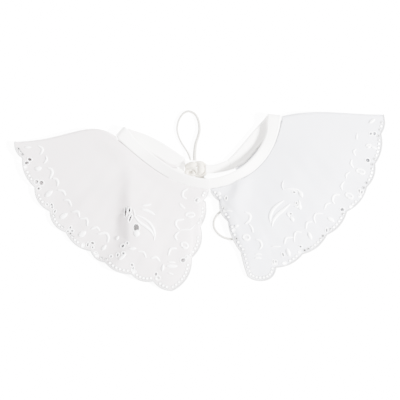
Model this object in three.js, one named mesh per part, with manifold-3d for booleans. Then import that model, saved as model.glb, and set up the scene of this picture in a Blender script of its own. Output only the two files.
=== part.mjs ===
import * as THREE from "three";
import { mergeVertices } from "three/addons/utils/BufferGeometryUtils.js";
import Module from "manifold-3d";

// A cotton cape collar with a scalloped, pierced rim, lying flat and folded at both shoulders.
// Millimetres, +Z up, the table at z = 0. +Y points from the front of the collar to its back.
// Headings are degrees from +X, turning towards +Y.

// Cloth. RIM_SPREAD is the length of a front rim over the front neck chord.
const CAPE_DEPTH = 103;
const CLOTH_THICKNESS = 1.2;
const RIM_LIFT = 2.4;
const SEAM_LIFT = 5.0;
const PUFF = 2.6;
const SHOULDER_ROLL_AT_NECK = 3.6;
const SHOULDER_ROLL_AT_RIM = 2.0;
const SEAM_CLEARANCE = 0.4;
const SEAM_CLEARANCE_AT_FOLD = 1.0;
const RIM_SPREAD = 2.2;

// Neck band
const FRONT_NECK_CHORD = 101;
const BACK_NECK_CHORD = 66;
const FRONT_CENTRE_X = 9.7;
const FRONT_CENTRE_Y = 12.95;
const BAND_WIDTH = 11.5;
const BAND_WIDTH_AT_FOLD = 13.8;
const BAND_THICKNESS = 1.8;
const FRONT_BAND_TILT = 35;
const BACK_BAND_TILT = 9;

// Eyelets
const EYELET_RADIUS = 1.5;
const EYELET_SPACING = 4.6;
const EYELET_SIDES = 6;
const PUNCH_OVERRUN = 0.4;

// Knot, ties and loops. TIE_BOW is a share of the tie's length, TIE_WAIST of its width.
const KNOT_LENGTH = 21;
const KNOT_WIDTH = 16;
const KNOT_HEIGHT = 8.4;
const KNOT_X = -4.5;
const KNOT_Y = 32.1;
const TIE_WIDTH = 8.4;
const TIE_THICKNESS = 1.6;
const TIE_BOW = 0.12;
const TIE_WAIST = 0.25;
const TIE_CLEARANCE = 0.55;
const LOOP_CORD_DIAMETER = 2.4;

// How finely the surfaces are divided
const CLOTH_ROWS = 7;
const FRONT_STEPS_PER_LOBE = 4;
const BACK_STEPS_PER_LOBE = 2;
const ROLL_STEPS = 5;
const FRONT_BAND_STEPS = 13;
const BACK_BAND_STEPS = 7;
const LOOP_SIDES = 8;
const LOOP_DIAMETERS_PER_STEP = 2.6;
const LEFT_TIE_STEPS = 3;
const RIGHT_TIE_STEPS = 5;
const KNOT_SEGMENTS = 10;
const KNOT_RINGS = 7;

// Shares of a seam where the shoulder fold is felt: from there on a front seam, up to there on a back one.
const FOLD_REACH = {
  clearance: { front: 0.85, back: 0.2 },
  bandLie: { front: 0.9, back: 0.14 },
  bow: { front: 0.72, back: 0.3 },
};
const NECK_RISES_FROM = 0.68;
const CLOTH_RISES_FROM = 0.72;
const ROLL_TURNS_WITHIN = 0.25;
const PUFF_GROWS_WITHIN = 0.2;
const BAND_TILT_FADES_FROM = 0.1;
const BAND_TILT_GROWS_WITHIN = 0.3;

// Four seams where the band meets the cloth. Lengths are shares of the neck chord.
const SEAM_LINES = {
  left_front: { chord: 1.028, heading: 151.7, leave: 178, leaveBy: 0.376, arrive: 138, arriveBy: 0.376 },
  right_front: { chord: 0.977, heading: 44, leave: 8, leaveBy: 0.376, arrive: 83, arriveBy: 0.416 },
  left_back: { chord: 1.0, heading: -24.9, leave: -5, leaveBy: 0.364, arrive: -37, arriveBy: 0.333 },
  right_back: { chord: 1.008, heading: 226.8, leave: 217, leaveBy: 0.303, arrive: 222, arriveBy: 0.303 },
};

// One row for each notch of the rim, from the front edge to the shoulder fold.
// seam: share of the seam. reach and lobe: shares of the cape depth. lift: share of the rim's lift.
// eyelets: how many open eyelets are grouped at the notch.
const LEFT_FRONT_RIBS = [
  { seam: 0.004, heading: 252, reach: 0.032, lobe: 0.01, lift: 1.2, eyelets: 0 },
  { seam: 0.03, heading: 258.8, reach: 0.106, lobe: 0.036, lift: 1.1, eyelets: 0 },
  { seam: 0.08, heading: 269, reach: 0.381, lobe: 0.05, lift: 1.0, eyelets: 3 },
  { seam: 0.14, heading: 267.8, reach: 0.692, lobe: 0.06, lift: 0.8, eyelets: 3 },
  { seam: 0.2, heading: 261.3, reach: 1.038, lobe: 0.025, lift: 0.5, eyelets: 0 },
  { seam: 0.27, heading: 254.2, reach: 0.987, lobe: 0.034, lift: 0.6, eyelets: 4 },
  { seam: 0.36, heading: 246.4, reach: 0.999, lobe: 0.034, lift: 0.8, eyelets: 3 },
  { seam: 0.46, heading: 236, reach: 1.019, lobe: 0.028, lift: 1.0, eyelets: 3 },
  { seam: 0.54, heading: 230.7, reach: 1.007, lobe: 0.04, lift: 1.0, eyelets: 4 },
  { seam: 0.64, heading: 219.3, reach: 1.031, lobe: 0.045, lift: 1.0, eyelets: 3 },
  { seam: 0.73, heading: 209.9, reach: 1.015, lobe: 0.046, lift: 1.0, eyelets: 4 },
  { seam: 0.82, heading: 199.3, reach: 1.01, lobe: 0.038, lift: 1.1, eyelets: 3 },
  { seam: 0.92, heading: 187.0, reach: 1.0, lobe: 0.02, lift: 1.4, eyelets: 4 },
  { seam: 1.0, heading: 181.9, reach: 1.004, lobe: 0, lift: 1.8, eyelets: 0 },
];
const RIGHT_FRONT_RIBS = [
  { seam: 0.004, heading: -66.8, reach: 0.037, lobe: 0.01, lift: 1.5, eyelets: 0 },
  { seam: 0.06, heading: -75.5, reach: 0.137, lobe: 0.03, lift: 1.6, eyelets: 0 },
  { seam: 0.11, heading: -79.5, reach: 0.344, lobe: 0.023, lift: 1.6, eyelets: 3 },
  { seam: 0.18, heading: -79.8, reach: 0.67, lobe: 0.005, lift: 1.5, eyelets: 3 },
  { seam: 0.22, heading: -80.8, reach: 0.919, lobe: 0.015, lift: 0.8, eyelets: 0 },
  { seam: 0.28, heading: -76.9, reach: 1.005, lobe: 0.04, lift: 0.5, eyelets: 0 },
  { seam: 0.36, heading: -71.7, reach: 0.933, lobe: 0.034, lift: 0.7, eyelets: 3 },
  { seam: 0.46, heading: -59.7, reach: 0.939, lobe: 0.036, lift: 1.0, eyelets: 4 },
  { seam: 0.56, heading: -47.4, reach: 0.94, lobe: 0.036, lift: 1.0, eyelets: 3 },
  { seam: 0.65, heading: -34.6, reach: 0.941, lobe: 0.036, lift: 1.0, eyelets: 3 },
  { seam: 0.74, heading: -22.1, reach: 0.995, lobe: 0.03, lift: 1.0, eyelets: 4 },
  { seam: 0.83, heading: -13.9, reach: 0.991, lobe: 0.034, lift: 1.1, eyelets: 3 },
  { seam: 0.92, heading: -2.5, reach: 0.993, lobe: 0.02, lift: 1.4, eyelets: 3 },
  { seam: 1.0, heading: 1.7, reach: 1.005, lobe: 0, lift: 1.8, eyelets: 0 },
];

// The back halves lie flat on the table under the front ones, from the shoulder fold to the back edge.
const LEFT_BACK_RIBS = [
  { seam: 0.0, heading: 181.9, reach: 1.004, lobe: 0.012 },
  { seam: 0.16, heading: 189.0, reach: 1.021, lobe: 0.03 },
  { seam: 0.34, heading: 201.7, reach: 1.079, lobe: 0.03 },
  { seam: 0.52, heading: 211.1, reach: 1.124, lobe: 0.03 },
  { seam: 0.7, heading: 218.5, reach: 1.161, lobe: 0.03 },
  { seam: 0.86, heading: 227.5, reach: 1.133, lobe: 0.03 },
  { seam: 1.0, heading: 232.4, reach: 1.134, lobe: 0 },
];
const RIGHT_BACK_RIBS = [
  { seam: 0.0, heading: 1.7, reach: 1.005, lobe: 0.012 },
  { seam: 0.16, heading: -3.8, reach: 1.023, lobe: 0.03 },
  { seam: 0.34, heading: -14.5, reach: 1.079, lobe: 0.03 },
  { seam: 0.52, heading: -20.8, reach: 1.121, lobe: 0.03 },
  { seam: 0.7, heading: -30.0, reach: 1.078, lobe: 0.03 },
  { seam: 0.86, heading: -40.0, reach: 1.062, lobe: 0.03 },
  { seam: 1.0, heading: -51.3, reach: 1.032, lobe: 0 },
];

// Soft creases. along: share of the way from neck to rim. at: share of the seam.
// rise and the two widths: shares of the cape depth.
const LEFT_CREASES = [
  {
    towardsFront: 0.4,
    towardsShoulder: 0.085,
    line: [
      { along: 0.1, at: 0.68, rise: 0 },
      { along: 0.23, at: 0.61, rise: 0.03 },
      { along: 0.36, at: 0.545, rise: 0.045 },
      { along: 0.48, at: 0.49, rise: 0.052 },
      { along: 0.6, at: 0.445, rise: 0.055 },
      { along: 0.7, at: 0.415, rise: 0.052 },
      { along: 0.82, at: 0.41, rise: 0.048 },
      { along: 1.0, at: 0.42, rise: 0.035 },
    ],
  },
  {
    towardsFront: 0.15,
    towardsShoulder: 0.06,
    line: [
      { along: 0.0, at: 0.84, rise: 0.02 },
      { along: 0.08, at: 0.86, rise: 0.03 },
      { along: 0.16, at: 0.9, rise: 0.03 },
      { along: 0.3, at: 0.95, rise: 0 },
    ],
  },
];
const RIGHT_CREASES = [
  {
    towardsFront: 0.06,
    towardsShoulder: 0.12,
    line: [
      { along: 0.0, at: 0.275, rise: 0.02 },
      { along: 0.05, at: 0.265, rise: 0.03 },
      { along: 0.14, at: 0.225, rise: 0.03 },
      { along: 0.28, at: 0.175, rise: 0.012 },
      { along: 0.4, at: 0.15, rise: 0 },
    ],
  },
  {
    towardsFront: 0.07,
    towardsShoulder: 0.05,
    line: [
      { along: 0.6, at: 0.96, rise: 0 },
      { along: 0.75, at: 0.94, rise: 0.025 },
      { along: 0.92, at: 0.93, rise: 0 },
    ],
  },
];

// Open eyelets of the spray in the middle of each wing. size: share of the eyelet radius.
const LEFT_SPRAY = [
  { along: 0.47, at: 0.53, size: 1 },
  { along: 0.455, at: 0.49, size: 1 },
  { along: 0.52, at: 0.49, size: 1 },
  { along: 0.57, at: 0.43, size: 1.5 },
];
const RIGHT_SPRAY = [
  { along: 0.46, at: 0.6, size: 1 },
  { along: 0.54, at: 0.54, size: 1 },
  { along: 0.57, at: 0.49, size: 1 },
];

// Each notch has a group of eyelets. aside and inward: shares of the eyelet spacing.
const EYELET_CLUSTER = [
  { aside: -0.55, inward: 1.0 },
  { aside: 0.55, inward: 1.0 },
  { aside: 0, inward: 1.85 },
  { aside: 0.25, inward: 2.7 },
];

const SIDES = {
  left: {
    turn: -1,
    frontSeam: "left_front",
    backSeam: "left_back",
    front: LEFT_FRONT_RIBS,
    back: LEFT_BACK_RIBS,
    creases: LEFT_CREASES,
    spray: LEFT_SPRAY,
    foldBow: 0.078,
    rollAcrossBand: 138,
    rollAtSeam: 117,
    rollAcrossCloth: 92.4,
  },
  right: {
    turn: 1,
    frontSeam: "right_front",
    backSeam: "right_back",
    front: RIGHT_FRONT_RIBS,
    back: RIGHT_BACK_RIBS,
    creases: RIGHT_CREASES,
    spray: RIGHT_SPRAY,
    foldBow: 0.035,
    rollAcrossBand: 83,
    rollAtSeam: 87,
    rollAcrossCloth: 91.7,
  },
};

// Route of the upper loop, from the knot round and back to it.
const UPPER_LOOP_ROUTE = [
  [-9.0, 40.9, 4.3],
  [-11.2, 46.9, 2.7],
  [-14.3, 52.5, 1.5],
  [-18.2, 58.5, 1.25],
  [-21.2, 65.0, 1.25],
  [-22.6, 71.5, 1.25],
  [-21.8, 78.5, 1.25],
  [-19.2, 84.5, 1.25],
  [-15.6, 88.5, 1.25],
  [-10.8, 90.1, 1.25],
  [-6.0, 88.3, 1.25],
  [-2.4, 83.5, 1.25],
  [-0.6, 77.0, 1.25],
  [-0.4, 70.5, 1.25],
  [-1.8, 64.5, 1.25],
  [-3.8, 58.5, 1.25],
  [-4.8, 52.5, 1.4],
  [-5.2, 46.9, 2.5],
  [-5.2, 40.8, 4.3],
];

// Route of the lower loop: out under the band, across the front gap and back under the right wing.
const LOWER_LOOP_ROUTE = [
  [-2.7, 24.7, 2.6],
  [-0.3, 19.7, 1.5],
  [4.7, 16.3, 1.25],
  [11.7, 14.1, 1.25],
  [18.7, 10.9, 1.25],
  [24.0, 5.9, 1.25],
  [26.4, -0.1, 1.25],
  [24.8, -5.9, 1.25],
  [20.6, -10.0, 1.25],
  [16.6, -14.3, 1.25],
  [14.1, -19.8, 1.25],
  [14.2, -25.6, 1.25],
  [17.2, -30.9, 1.25],
  [22.2, -35.0, 1.25],
  [28.2, -37.3, 1.25],
  [34.7, -37.3, 1.25],
  [40.7, -34.2, 1.25],
  [43.7, -28.1, 1.25],
  [42.7, -21.1, 1.25],
  [39.2, -12.6, 1.25],
  [35.2, -3.6, 1.25],
  [30.7, 4.9, 1.25],
  [25.2, 11.5, 1.25],
  [18.7, 16.2, 1.25],
  [10.3, 19.7, 1.25],
  [4.3, 22.7, 1.6],
  [1.7, 26.5, 2.6],
];

const WHITE_LAWN_LEFT = new THREE.MeshStandardMaterial({ color: 0xedebec, roughness: 0.92, metalness: 0 });
const WHITE_LAWN_RIGHT = new THREE.MeshStandardMaterial({ color: 0xeeeef1, roughness: 0.92, metalness: 0 });
const BAND_COTTON = new THREE.MeshStandardMaterial({ color: 0xf7f6f4, roughness: 0.85, metalness: 0 });
const CREAM_CORD = new THREE.MeshStandardMaterial({ color: 0xe8e5e0, roughness: 0.8, metalness: 0 });

const { Vector3 } = THREE;
const mix = THREE.MathUtils.lerp;
const smooth = THREE.MathUtils.smoothstep;

const towards = (heading) => {
  const angle = THREE.MathUtils.degToRad(heading);
  return new Vector3(Math.cos(angle), Math.sin(angle), 0);
};

// Seams of the neck, as level curves

const seamCurve = (start, row, neckChord) => {
  const end = start.clone().addScaledVector(towards(row.heading), row.chord * neckChord);
  const leave = start.clone().addScaledVector(towards(row.leave), row.leaveBy * neckChord);
  const arrive = end.clone().addScaledVector(towards(row.arrive), -row.arriveBy * neckChord);
  return new THREE.CubicBezierCurve3(start, leave, arrive, end);
};

const frontCentre = new Vector3(FRONT_CENTRE_X, FRONT_CENTRE_Y, 0);
const seams = {};
for (const side of Object.values(SIDES)) {
  seams[side.frontSeam] = seamCurve(frontCentre, SEAM_LINES[side.frontSeam], FRONT_NECK_CHORD);
  const shoulder = seams[side.frontSeam].getPoint(1);
  seams[side.backSeam] = seamCurve(shoulder, SEAM_LINES[side.backSeam], BACK_NECK_CHORD);
}

// Cloth of a wing, as a surface: share of the seam, and share of the way from neck to rim

const tableValue = (rows, key, place, column) => {
  if (place <= rows[0][key]) return rows[0][column];
  const next = rows.findIndex((row) => row[key] >= place);
  if (next < 0) return rows[rows.length - 1][column];
  const before = rows[next - 1];
  const share = (place - before[key]) / (rows[next][key] - before[key]);
  return mix(before[column], rows[next][column], share);
};

const notch = (curve, rib) => {
  return curve.getPoint(rib.seam).addScaledVector(towards(rib.heading), rib.reach * CAPE_DEPTH);
};

const nearFold = (reach, half, at) => {
  return half === "front" ? smooth(at, reach.front, 1) : 1 - smooth(at, 0, reach.back);
};

// Direction in which the band lies from its seam to its free edge, level with the table
const lieAcrossBand = (side, half, at) => {
  const curve = seams[half === "front" ? side.frontSeam : side.backSeam];
  const away = half === "front" ? curve.getTangent(at) : curve.getTangent(at).negate();
  const inward = new Vector3(-away.y, away.x, 0).multiplyScalar(side.turn);
  const atFold = towards(side.rollAcrossBand + 90 * side.turn);
  return inward.lerp(atFold, nearFold(FOLD_REACH.bandLie, half, at)).normalize();
};

// Rises to 1 a third of the way from neck to rim and falls back to nothing
const bowShape = (along) => (27 / 4) * along * (1 - along) ** 2;

const levelPoint = (side, half, at, along) => {
  const ribs = side[half];
  const curve = seams[half === "front" ? side.frontSeam : side.backSeam];
  const next = Math.max(1, ribs.findIndex((rib) => rib.seam >= at - 1e-9));
  const before = ribs[next - 1];
  const share = (at - before.seam) / (ribs[next].seam - before.seam);
  const from = notch(curve, before);
  const to = notch(curve, ribs[next]);
  const start = curve.getPoint(at);
  const rimChord = to.clone().sub(from);
  const outward = new Vector3(rimChord.y, -rimChord.x, 0).normalize();
  if (outward.dot(from.clone().sub(start)) < 0) outward.negate();
  const bulge = before.lobe * CAPE_DEPTH * 4 * share * (1 - share);
  const rim = from.lerp(to, share).addScaledVector(outward, bulge);
  const clearance = mix(SEAM_CLEARANCE, SEAM_CLEARANCE_AT_FOLD, nearFold(FOLD_REACH.clearance, half, at));
  start.addScaledVector(lieAcrossBand(side, half, at), -clearance);
  const rib = rim.clone().sub(start);
  const direction = rib.clone().normalize();
  const bow = side.foldBow * CAPE_DEPTH * nearFold(FOLD_REACH.bow, half, at) * bowShape(along);
  const aside = new Vector3(direction.y, -direction.x, 0).multiplyScalar(-side.turn);
  return start.addScaledVector(rib, along).addScaledVector(aside, bow);
};

const rollRadius = (along) => mix(SHOULDER_ROLL_AT_NECK, SHOULDER_ROLL_AT_RIM, along);

// Height of the middle of a sheet along a front seam
const seamHeight = (at, thickness) => {
  const foldTop = thickness / 2 + 2 * SHOULDER_ROLL_AT_NECK;
  return mix(SEAM_LIFT, foldTop, smooth(at, NECK_RISES_FROM, 1));
};

const creaseHeight = (side, at, along) => {
  let height = 0;
  for (const crease of side.creases) {
    const ridge = tableValue(crease.line, "along", along, "at");
    const rise = tableValue(crease.line, "along", along, "rise");
    const spread = FRONT_NECK_CHORD * mix(1, RIM_SPREAD, along);
    const away = (at - ridge) * spread;
    const width = CAPE_DEPTH * (away < 0 ? crease.towardsFront : crease.towardsShoulder);
    height += rise * CAPE_DEPTH * Math.exp(-((away / width) ** 2));
  }
  return height;
};

const frontHeight = (side, at, along) => {
  const rim = RIM_LIFT * tableValue(side.front, "seam", at, "lift");
  const puff = PUFF * Math.sin(Math.PI * along) * smooth(at, 0, PUFF_GROWS_WITHIN);
  const hang = mix(seamHeight(at, CLOTH_THICKNESS), rim, smooth(along, 0, 1));
  const folded = CLOTH_THICKNESS / 2 + 2 * rollRadius(along);
  return mix(hang + puff + creaseHeight(side, at, along), folded, smooth(at, CLOTH_RISES_FROM, 1));
};

const rollPoint = (side, along, halfTurn) => {
  const point = levelPoint(side, "front", 1, along);
  const radius = rollRadius(along);
  const facing = towards(mix(side.rollAtSeam, side.rollAcrossCloth, smooth(along, 0, ROLL_TURNS_WITHIN)));
  point.addScaledVector(facing, radius * Math.sin(halfTurn));
  point.z = CLOTH_THICKNESS / 2 + radius * (1 + Math.cos(halfTurn));
  return point;
};

const frontPoint = (side, at, along) => {
  const point = levelPoint(side, "front", at, along);
  point.z = frontHeight(side, at, along);
  return point;
};

const backPoint = (side, at, along) => {
  const point = levelPoint(side, "back", at, along);
  point.z = CLOTH_THICKNESS / 2;
  return point;
};

// A closed sheet of even thickness round a grid of points on its middle surface

const closedGeometry = (positions, triangles) => {
  const geometry = new THREE.BufferGeometry();
  geometry.setAttribute("position", new THREE.Float32BufferAttribute(positions, 3));
  geometry.setIndex(triangles);
  geometry.computeVertexNormals();
  return geometry;
};

const gridNormal = (grid, i, j) => {
  const before = grid[Math.max(i - 1, 0)][j];
  const after = grid[Math.min(i + 1, grid.length - 1)][j];
  const inner = grid[i][Math.max(j - 1, 0)];
  const outer = grid[i][Math.min(j + 1, grid[i].length - 1)];
  return after.clone().sub(before).cross(outer.clone().sub(inner)).normalize();
};

const sheetGeometry = (grid, thickness) => {
  const columns = grid.length;
  const rows = grid[0].length;
  const positions = [];
  for (const face of [0.5, -0.5]) {
    for (let i = 0; i < columns; i += 1) {
      for (let j = 0; j < rows; j += 1) {
        const point = grid[i][j].clone().addScaledVector(gridNormal(grid, i, j), face * thickness);
        positions.push(point.x, point.y, point.z);
      }
    }
  }
  const outside = (i, j) => i * rows + j;
  const inside = (i, j) => columns * rows + i * rows + j;
  const triangles = [];
  const quad = (a, b, c, d) => triangles.push(a, b, c, a, c, d);
  for (let i = 0; i + 1 < columns; i += 1) {
    for (let j = 0; j + 1 < rows; j += 1) {
      const falling = grid[i][j].distanceTo(grid[i + 1][j + 1]);
      const rising = grid[i + 1][j].distanceTo(grid[i][j + 1]);
      if (falling < rising) {
        quad(outside(i, j), outside(i + 1, j), outside(i + 1, j + 1), outside(i, j + 1));
        quad(inside(i, j), inside(i, j + 1), inside(i + 1, j + 1), inside(i + 1, j));
      } else {
        quad(outside(i + 1, j), outside(i + 1, j + 1), outside(i, j + 1), outside(i, j));
        quad(inside(i, j + 1), inside(i + 1, j + 1), inside(i + 1, j), inside(i, j));
      }
    }
    quad(outside(i, 0), inside(i, 0), inside(i + 1, 0), outside(i + 1, 0));
    quad(outside(i + 1, rows - 1), inside(i + 1, rows - 1), inside(i, rows - 1), outside(i, rows - 1));
  }
  for (let j = 0; j + 1 < rows; j += 1) {
    quad(outside(0, j + 1), inside(0, j + 1), inside(0, j), outside(0, j));
    const last = columns - 1;
    quad(outside(last, j), inside(last, j), inside(last, j + 1), outside(last, j + 1));
  }
  return closedGeometry(positions, triangles);
};

// Cutting and joining closed solids

const wasm = await Module();
wasm.setup();

const solidOf = (geometry) => {
  const bare = geometry.clone();
  bare.deleteAttribute("normal");
  bare.deleteAttribute("uv");
  const merged = mergeVertices(bare, 1e-4);
  return new wasm.Manifold(new wasm.Mesh({
    numProp: 3,
    vertProperties: new Float32Array(merged.attributes.position.array),
    triVerts: new Uint32Array(merged.index.array),
  }));
};

const geometryOf = (solid) => {
  const mesh = solid.getMesh();
  return closedGeometry(Array.from(mesh.vertProperties), Array.from(mesh.triVerts));
};

// Wings

const clothGrid = (side) => {
  const places = [];
  const divide = (ribs, steps, pointAt) => {
    for (let i = 0; i + 1 < ribs.length; i += 1) {
      for (let step = 0; step < steps; step += 1) {
        places.push((along) => pointAt(side, mix(ribs[i].seam, ribs[i + 1].seam, step / steps), along));
      }
    }
  };
  divide(side.front, FRONT_STEPS_PER_LOBE, frontPoint);
  for (let step = 0; step < ROLL_STEPS; step += 1) {
    places.push((along) => rollPoint(side, along, (Math.PI * step) / ROLL_STEPS));
  }
  divide(side.back, BACK_STEPS_PER_LOBE, backPoint);
  places.push((along) => backPoint(side, 1, along));
  const grid = places.map((place) => {
    return Array.from({ length: CLOTH_ROWS + 1 }, (unused, row) => place(row / CLOTH_ROWS));
  });
  return side.turn > 0 ? grid.reverse() : grid;
};

const SURFACE_STEP = 0.004;

const eyeletPunch = (side, at, along, radius) => {
  const step = SURFACE_STEP;
  const middle = frontPoint(side, at, along);
  const acrossCloth = frontPoint(side, at + step, along).sub(frontPoint(side, at - step, along));
  const downCloth = frontPoint(side, at, along + step).sub(frontPoint(side, at, along - step));
  const facing = acrossCloth.cross(downCloth).normalize();
  const length = CLOTH_THICKNESS + 2 * PUNCH_OVERRUN;
  const punch = new THREE.CylinderGeometry(radius, radius, length, EYELET_SIDES);
  punch.applyQuaternion(new THREE.Quaternion().setFromUnitVectors(new Vector3(0, 1, 0), facing));
  punch.translate(middle.x, middle.y, middle.z);
  return solidOf(punch);
};

// Shares of the seam and of the cape that a search for a place on the cloth starts and ends with
const WIDEST_SEARCH = 0.05;
const FINEST_SEARCH = 0.0004;
const SEARCH_STEPS = [-1, 0, 1].flatMap((at) => [-5, -2, 0, 2, 5].map((along) => [at, along]));
const INSIDE_NOTCH = { aside: 0.03, along: 0.75 };

// Finds where on the front cloth a level point lies, by closing in from a rough guess
const placeOnCloth = (side, target, guess) => {
  let best = guess;
  let away = Infinity;
  let reach = WIDEST_SEARCH;
  while (reach > FINEST_SEARCH) {
    const centre = best;
    for (const [atStep, alongStep] of SEARCH_STEPS) {
      const at = THREE.MathUtils.clamp(centre.at + atStep * reach, side.front[0].seam, 1);
      const along = THREE.MathUtils.clamp(centre.along + alongStep * reach, 0, 1);
      const distance = levelPoint(side, "front", at, along).distanceTo(target);
      if (distance < away) {
        away = distance;
        best = { at, along };
      }
    }
    if (best === centre) reach /= 2;
  }
  return best;
};

const eyeletPlaces = (side) => {
  const places = side.spray.map(({ at, along, size }) => ({ at, along, radius: size * EYELET_RADIUS }));
  const notches = side.front.map((rib) => notch(seams[side.frontSeam], rib));
  for (let i = 1; i + 1 < notches.length; i += 1) {
    const guess = { at: side.front[i].seam + INSIDE_NOTCH.aside, along: INSIDE_NOTCH.along };
    const rimwards = notches[i + 1].clone().sub(notches[i - 1]).normalize();
    const inward = new Vector3(-rimwards.y, rimwards.x, 0).multiplyScalar(side.turn);
    for (const hole of EYELET_CLUSTER.slice(0, side.front[i].eyelets)) {
      const target = notches[i]
        .clone()
        .addScaledVector(rimwards, hole.aside * EYELET_SPACING)
        .addScaledVector(inward, hole.inward * EYELET_SPACING);
      places.push({ ...placeOnCloth(side, target, guess), radius: EYELET_RADIUS });
    }
  }
  return places;
};

const wingGeometry = (side) => {
  let solid = solidOf(sheetGeometry(clothGrid(side), CLOTH_THICKNESS));
  for (const { at, along, radius } of eyeletPlaces(side)) {
    solid = solid.subtract(eyeletPunch(side, at, along, radius));
  }
  return geometryOf(solid);
};

// Neck band: a strip whose sections run from the seam to its free edge

const BAND_PROFILE = [
  { across: 0, through: -0.25 },
  { across: 0.08, through: -0.5 },
  { across: 0.92, through: -0.5 },
  { across: 1, through: -0.25 },
  { across: 1, through: 0.25 },
  { across: 0.92, through: 0.5 },
  { across: 0.08, through: 0.5 },
  { across: 0, through: 0.25 },
];

const bandSection = (seamPoint, freePoint, alongBand, profile, thickness) => {
  const across = freePoint.clone().sub(seamPoint);
  const through = across.clone().cross(alongBand).normalize();
  return profile.map((corner) => {
    const point = seamPoint.clone().addScaledVector(across, corner.across);
    return point.addScaledVector(through, corner.through * thickness);
  });
};

const loftGeometry = (sections) => {
  const sides = sections[0].length;
  const positions = sections.flat().flatMap((point) => [point.x, point.y, point.z]);
  const triangles = [];
  for (let i = 0; i + 1 < sections.length; i += 1) {
    for (let j = 0; j < sides; j += 1) {
      const a = i * sides + j;
      const b = i * sides + ((j + 1) % sides);
      triangles.push(a, b + sides, b, a, a + sides, b + sides);
    }
  }
  const last = (sections.length - 1) * sides;
  for (let j = 1; j + 1 < sides; j += 1) {
    triangles.push(0, j, j + 1);
    triangles.push(last, last + j + 1, last + j);
  }
  return closedGeometry(positions, triangles);
};

const bandEdges = (side, half, at) => {
  const curve = seams[half === "front" ? side.frontSeam : side.backSeam];
  const seamPoint = curve.getPoint(at);
  const frontTilt = FRONT_BAND_TILT * (1 - smooth(at, BAND_TILT_FADES_FROM, 1));
  const backTilt = BACK_BAND_TILT * smooth(at, 0, BAND_TILT_GROWS_WITHIN);
  const angle = THREE.MathUtils.degToRad(half === "front" ? frontTilt : backTilt);
  seamPoint.z = half === "front" ? seamHeight(at, BAND_THICKNESS) : BAND_THICKNESS / 2;
  const width = mix(BAND_WIDTH, BAND_WIDTH_AT_FOLD, nearFold(FOLD_REACH.clearance, half, at));
  const lie = lieAcrossBand(side, half, at);
  const freePoint = seamPoint.clone().addScaledVector(lie, width * Math.cos(angle));
  freePoint.z += width * Math.sin(angle);
  return { seamPoint, freePoint };
};

const bandRollEdges = (side, halfTurn) => {
  const { seamPoint, freePoint } = bandEdges(side, "back", 0);
  const radius = SHOULDER_ROLL_AT_NECK;
  const rise = new Vector3(0, 0, radius * (1 + Math.cos(halfTurn)));
  seamPoint.addScaledVector(towards(side.rollAtSeam), radius * Math.sin(halfTurn)).add(rise);
  freePoint.addScaledVector(towards(side.rollAcrossBand), radius * Math.sin(halfTurn)).add(rise);
  return { seamPoint, freePoint };
};

const bandHalf = (side) => {
  const edges = [];
  for (let step = 0; step < FRONT_BAND_STEPS; step += 1) {
    edges.push(bandEdges(side, "front", step / FRONT_BAND_STEPS));
  }
  for (let step = 0; step < ROLL_STEPS; step += 1) {
    edges.push(bandRollEdges(side, (Math.PI * step) / ROLL_STEPS));
  }
  for (let step = 0; step <= BACK_BAND_STEPS; step += 1) {
    edges.push(bandEdges(side, "back", step / BACK_BAND_STEPS));
  }
  return edges;
};

const stripGeometry = (edges, thickness) => {
  const sections = edges.map((edge, i) => {
    const before = edges[Math.max(i - 1, 0)];
    const after = edges[Math.min(i + 1, edges.length - 1)];
    const alongBand = after.seamPoint.clone().sub(before.seamPoint);
    alongBand.add(after.freePoint).sub(before.freePoint);
    return bandSection(edge.seamPoint, edge.freePoint, alongBand, BAND_PROFILE, thickness);
  });
  return loftGeometry(sections);
};

const neckBandGeometry = () => {
  const left = bandHalf(SIDES.left).reverse();
  const right = bandHalf(SIDES.right).slice(1);
  return stripGeometry([...left, ...right], BAND_THICKNESS);
};

// Ties: short flat ends of the band's cord that run into the knot. Meeting places are shares of the knot.

const TIE_MEETS_KNOT = {
  left: { x: -0.52, y: 0.14 },
  right: { x: 0.51, y: 0.03 },
};

const knotCentre = new Vector3(KNOT_X, KNOT_Y, 0.5 * KNOT_HEIGHT);

const tieGeometry = (side, meeting, steps) => {
  const end = bandEdges(side, "back", 1);
  const leave = seams[side.backSeam].getTangent(1);
  const bandMiddle = end.seamPoint.clone().lerp(end.freePoint, 0.5);
  const start = bandMiddle.clone().addScaledVector(leave, TIE_CLEARANCE);
  const startAcross = end.freePoint.clone().sub(end.seamPoint).normalize();
  const stop = knotCentre.clone().add(new Vector3(meeting.x * KNOT_LENGTH, meeting.y * KNOT_WIDTH, 0));
  const edges = [];
  for (let step = 0; step <= steps; step += 1) {
    const share = step / steps;
    const middle = start.clone().lerp(stop, share);
    middle.addScaledVector(leave, TIE_BOW * start.distanceTo(stop) * Math.sin(Math.PI * share));
    const across = startAcross.clone().lerp(new Vector3(0, 1, 0), share).normalize();
    const halfWidth = (TIE_WIDTH / 2) * (1 - TIE_WAIST * Math.sin(Math.PI * share));
    edges.push({
      seamPoint: middle.clone().addScaledVector(across, -halfWidth),
      freePoint: middle.clone().addScaledVector(across, halfWidth),
    });
  }
  return stripGeometry(edges, TIE_THICKNESS);
};

// Knot: soft turns of cord pulled together. Places and sizes are shares of the knot's own.

const KNOT_TURNS = [
  { x: 0.02, y: -0.04, z: 0, length: 0.76, width: 0.78, height: 1 },
  { x: -0.14, y: 0.27, z: 0.05, length: 0.6, width: 0.5, height: 0.82 },
  { x: 0.24, y: 0.06, z: 0.03, length: 0.52, width: 0.66, height: 0.92 },
  { x: -0.3, y: -0.24, z: -0.08, length: 0.42, width: 0.52, height: 0.74 },
];

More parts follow.
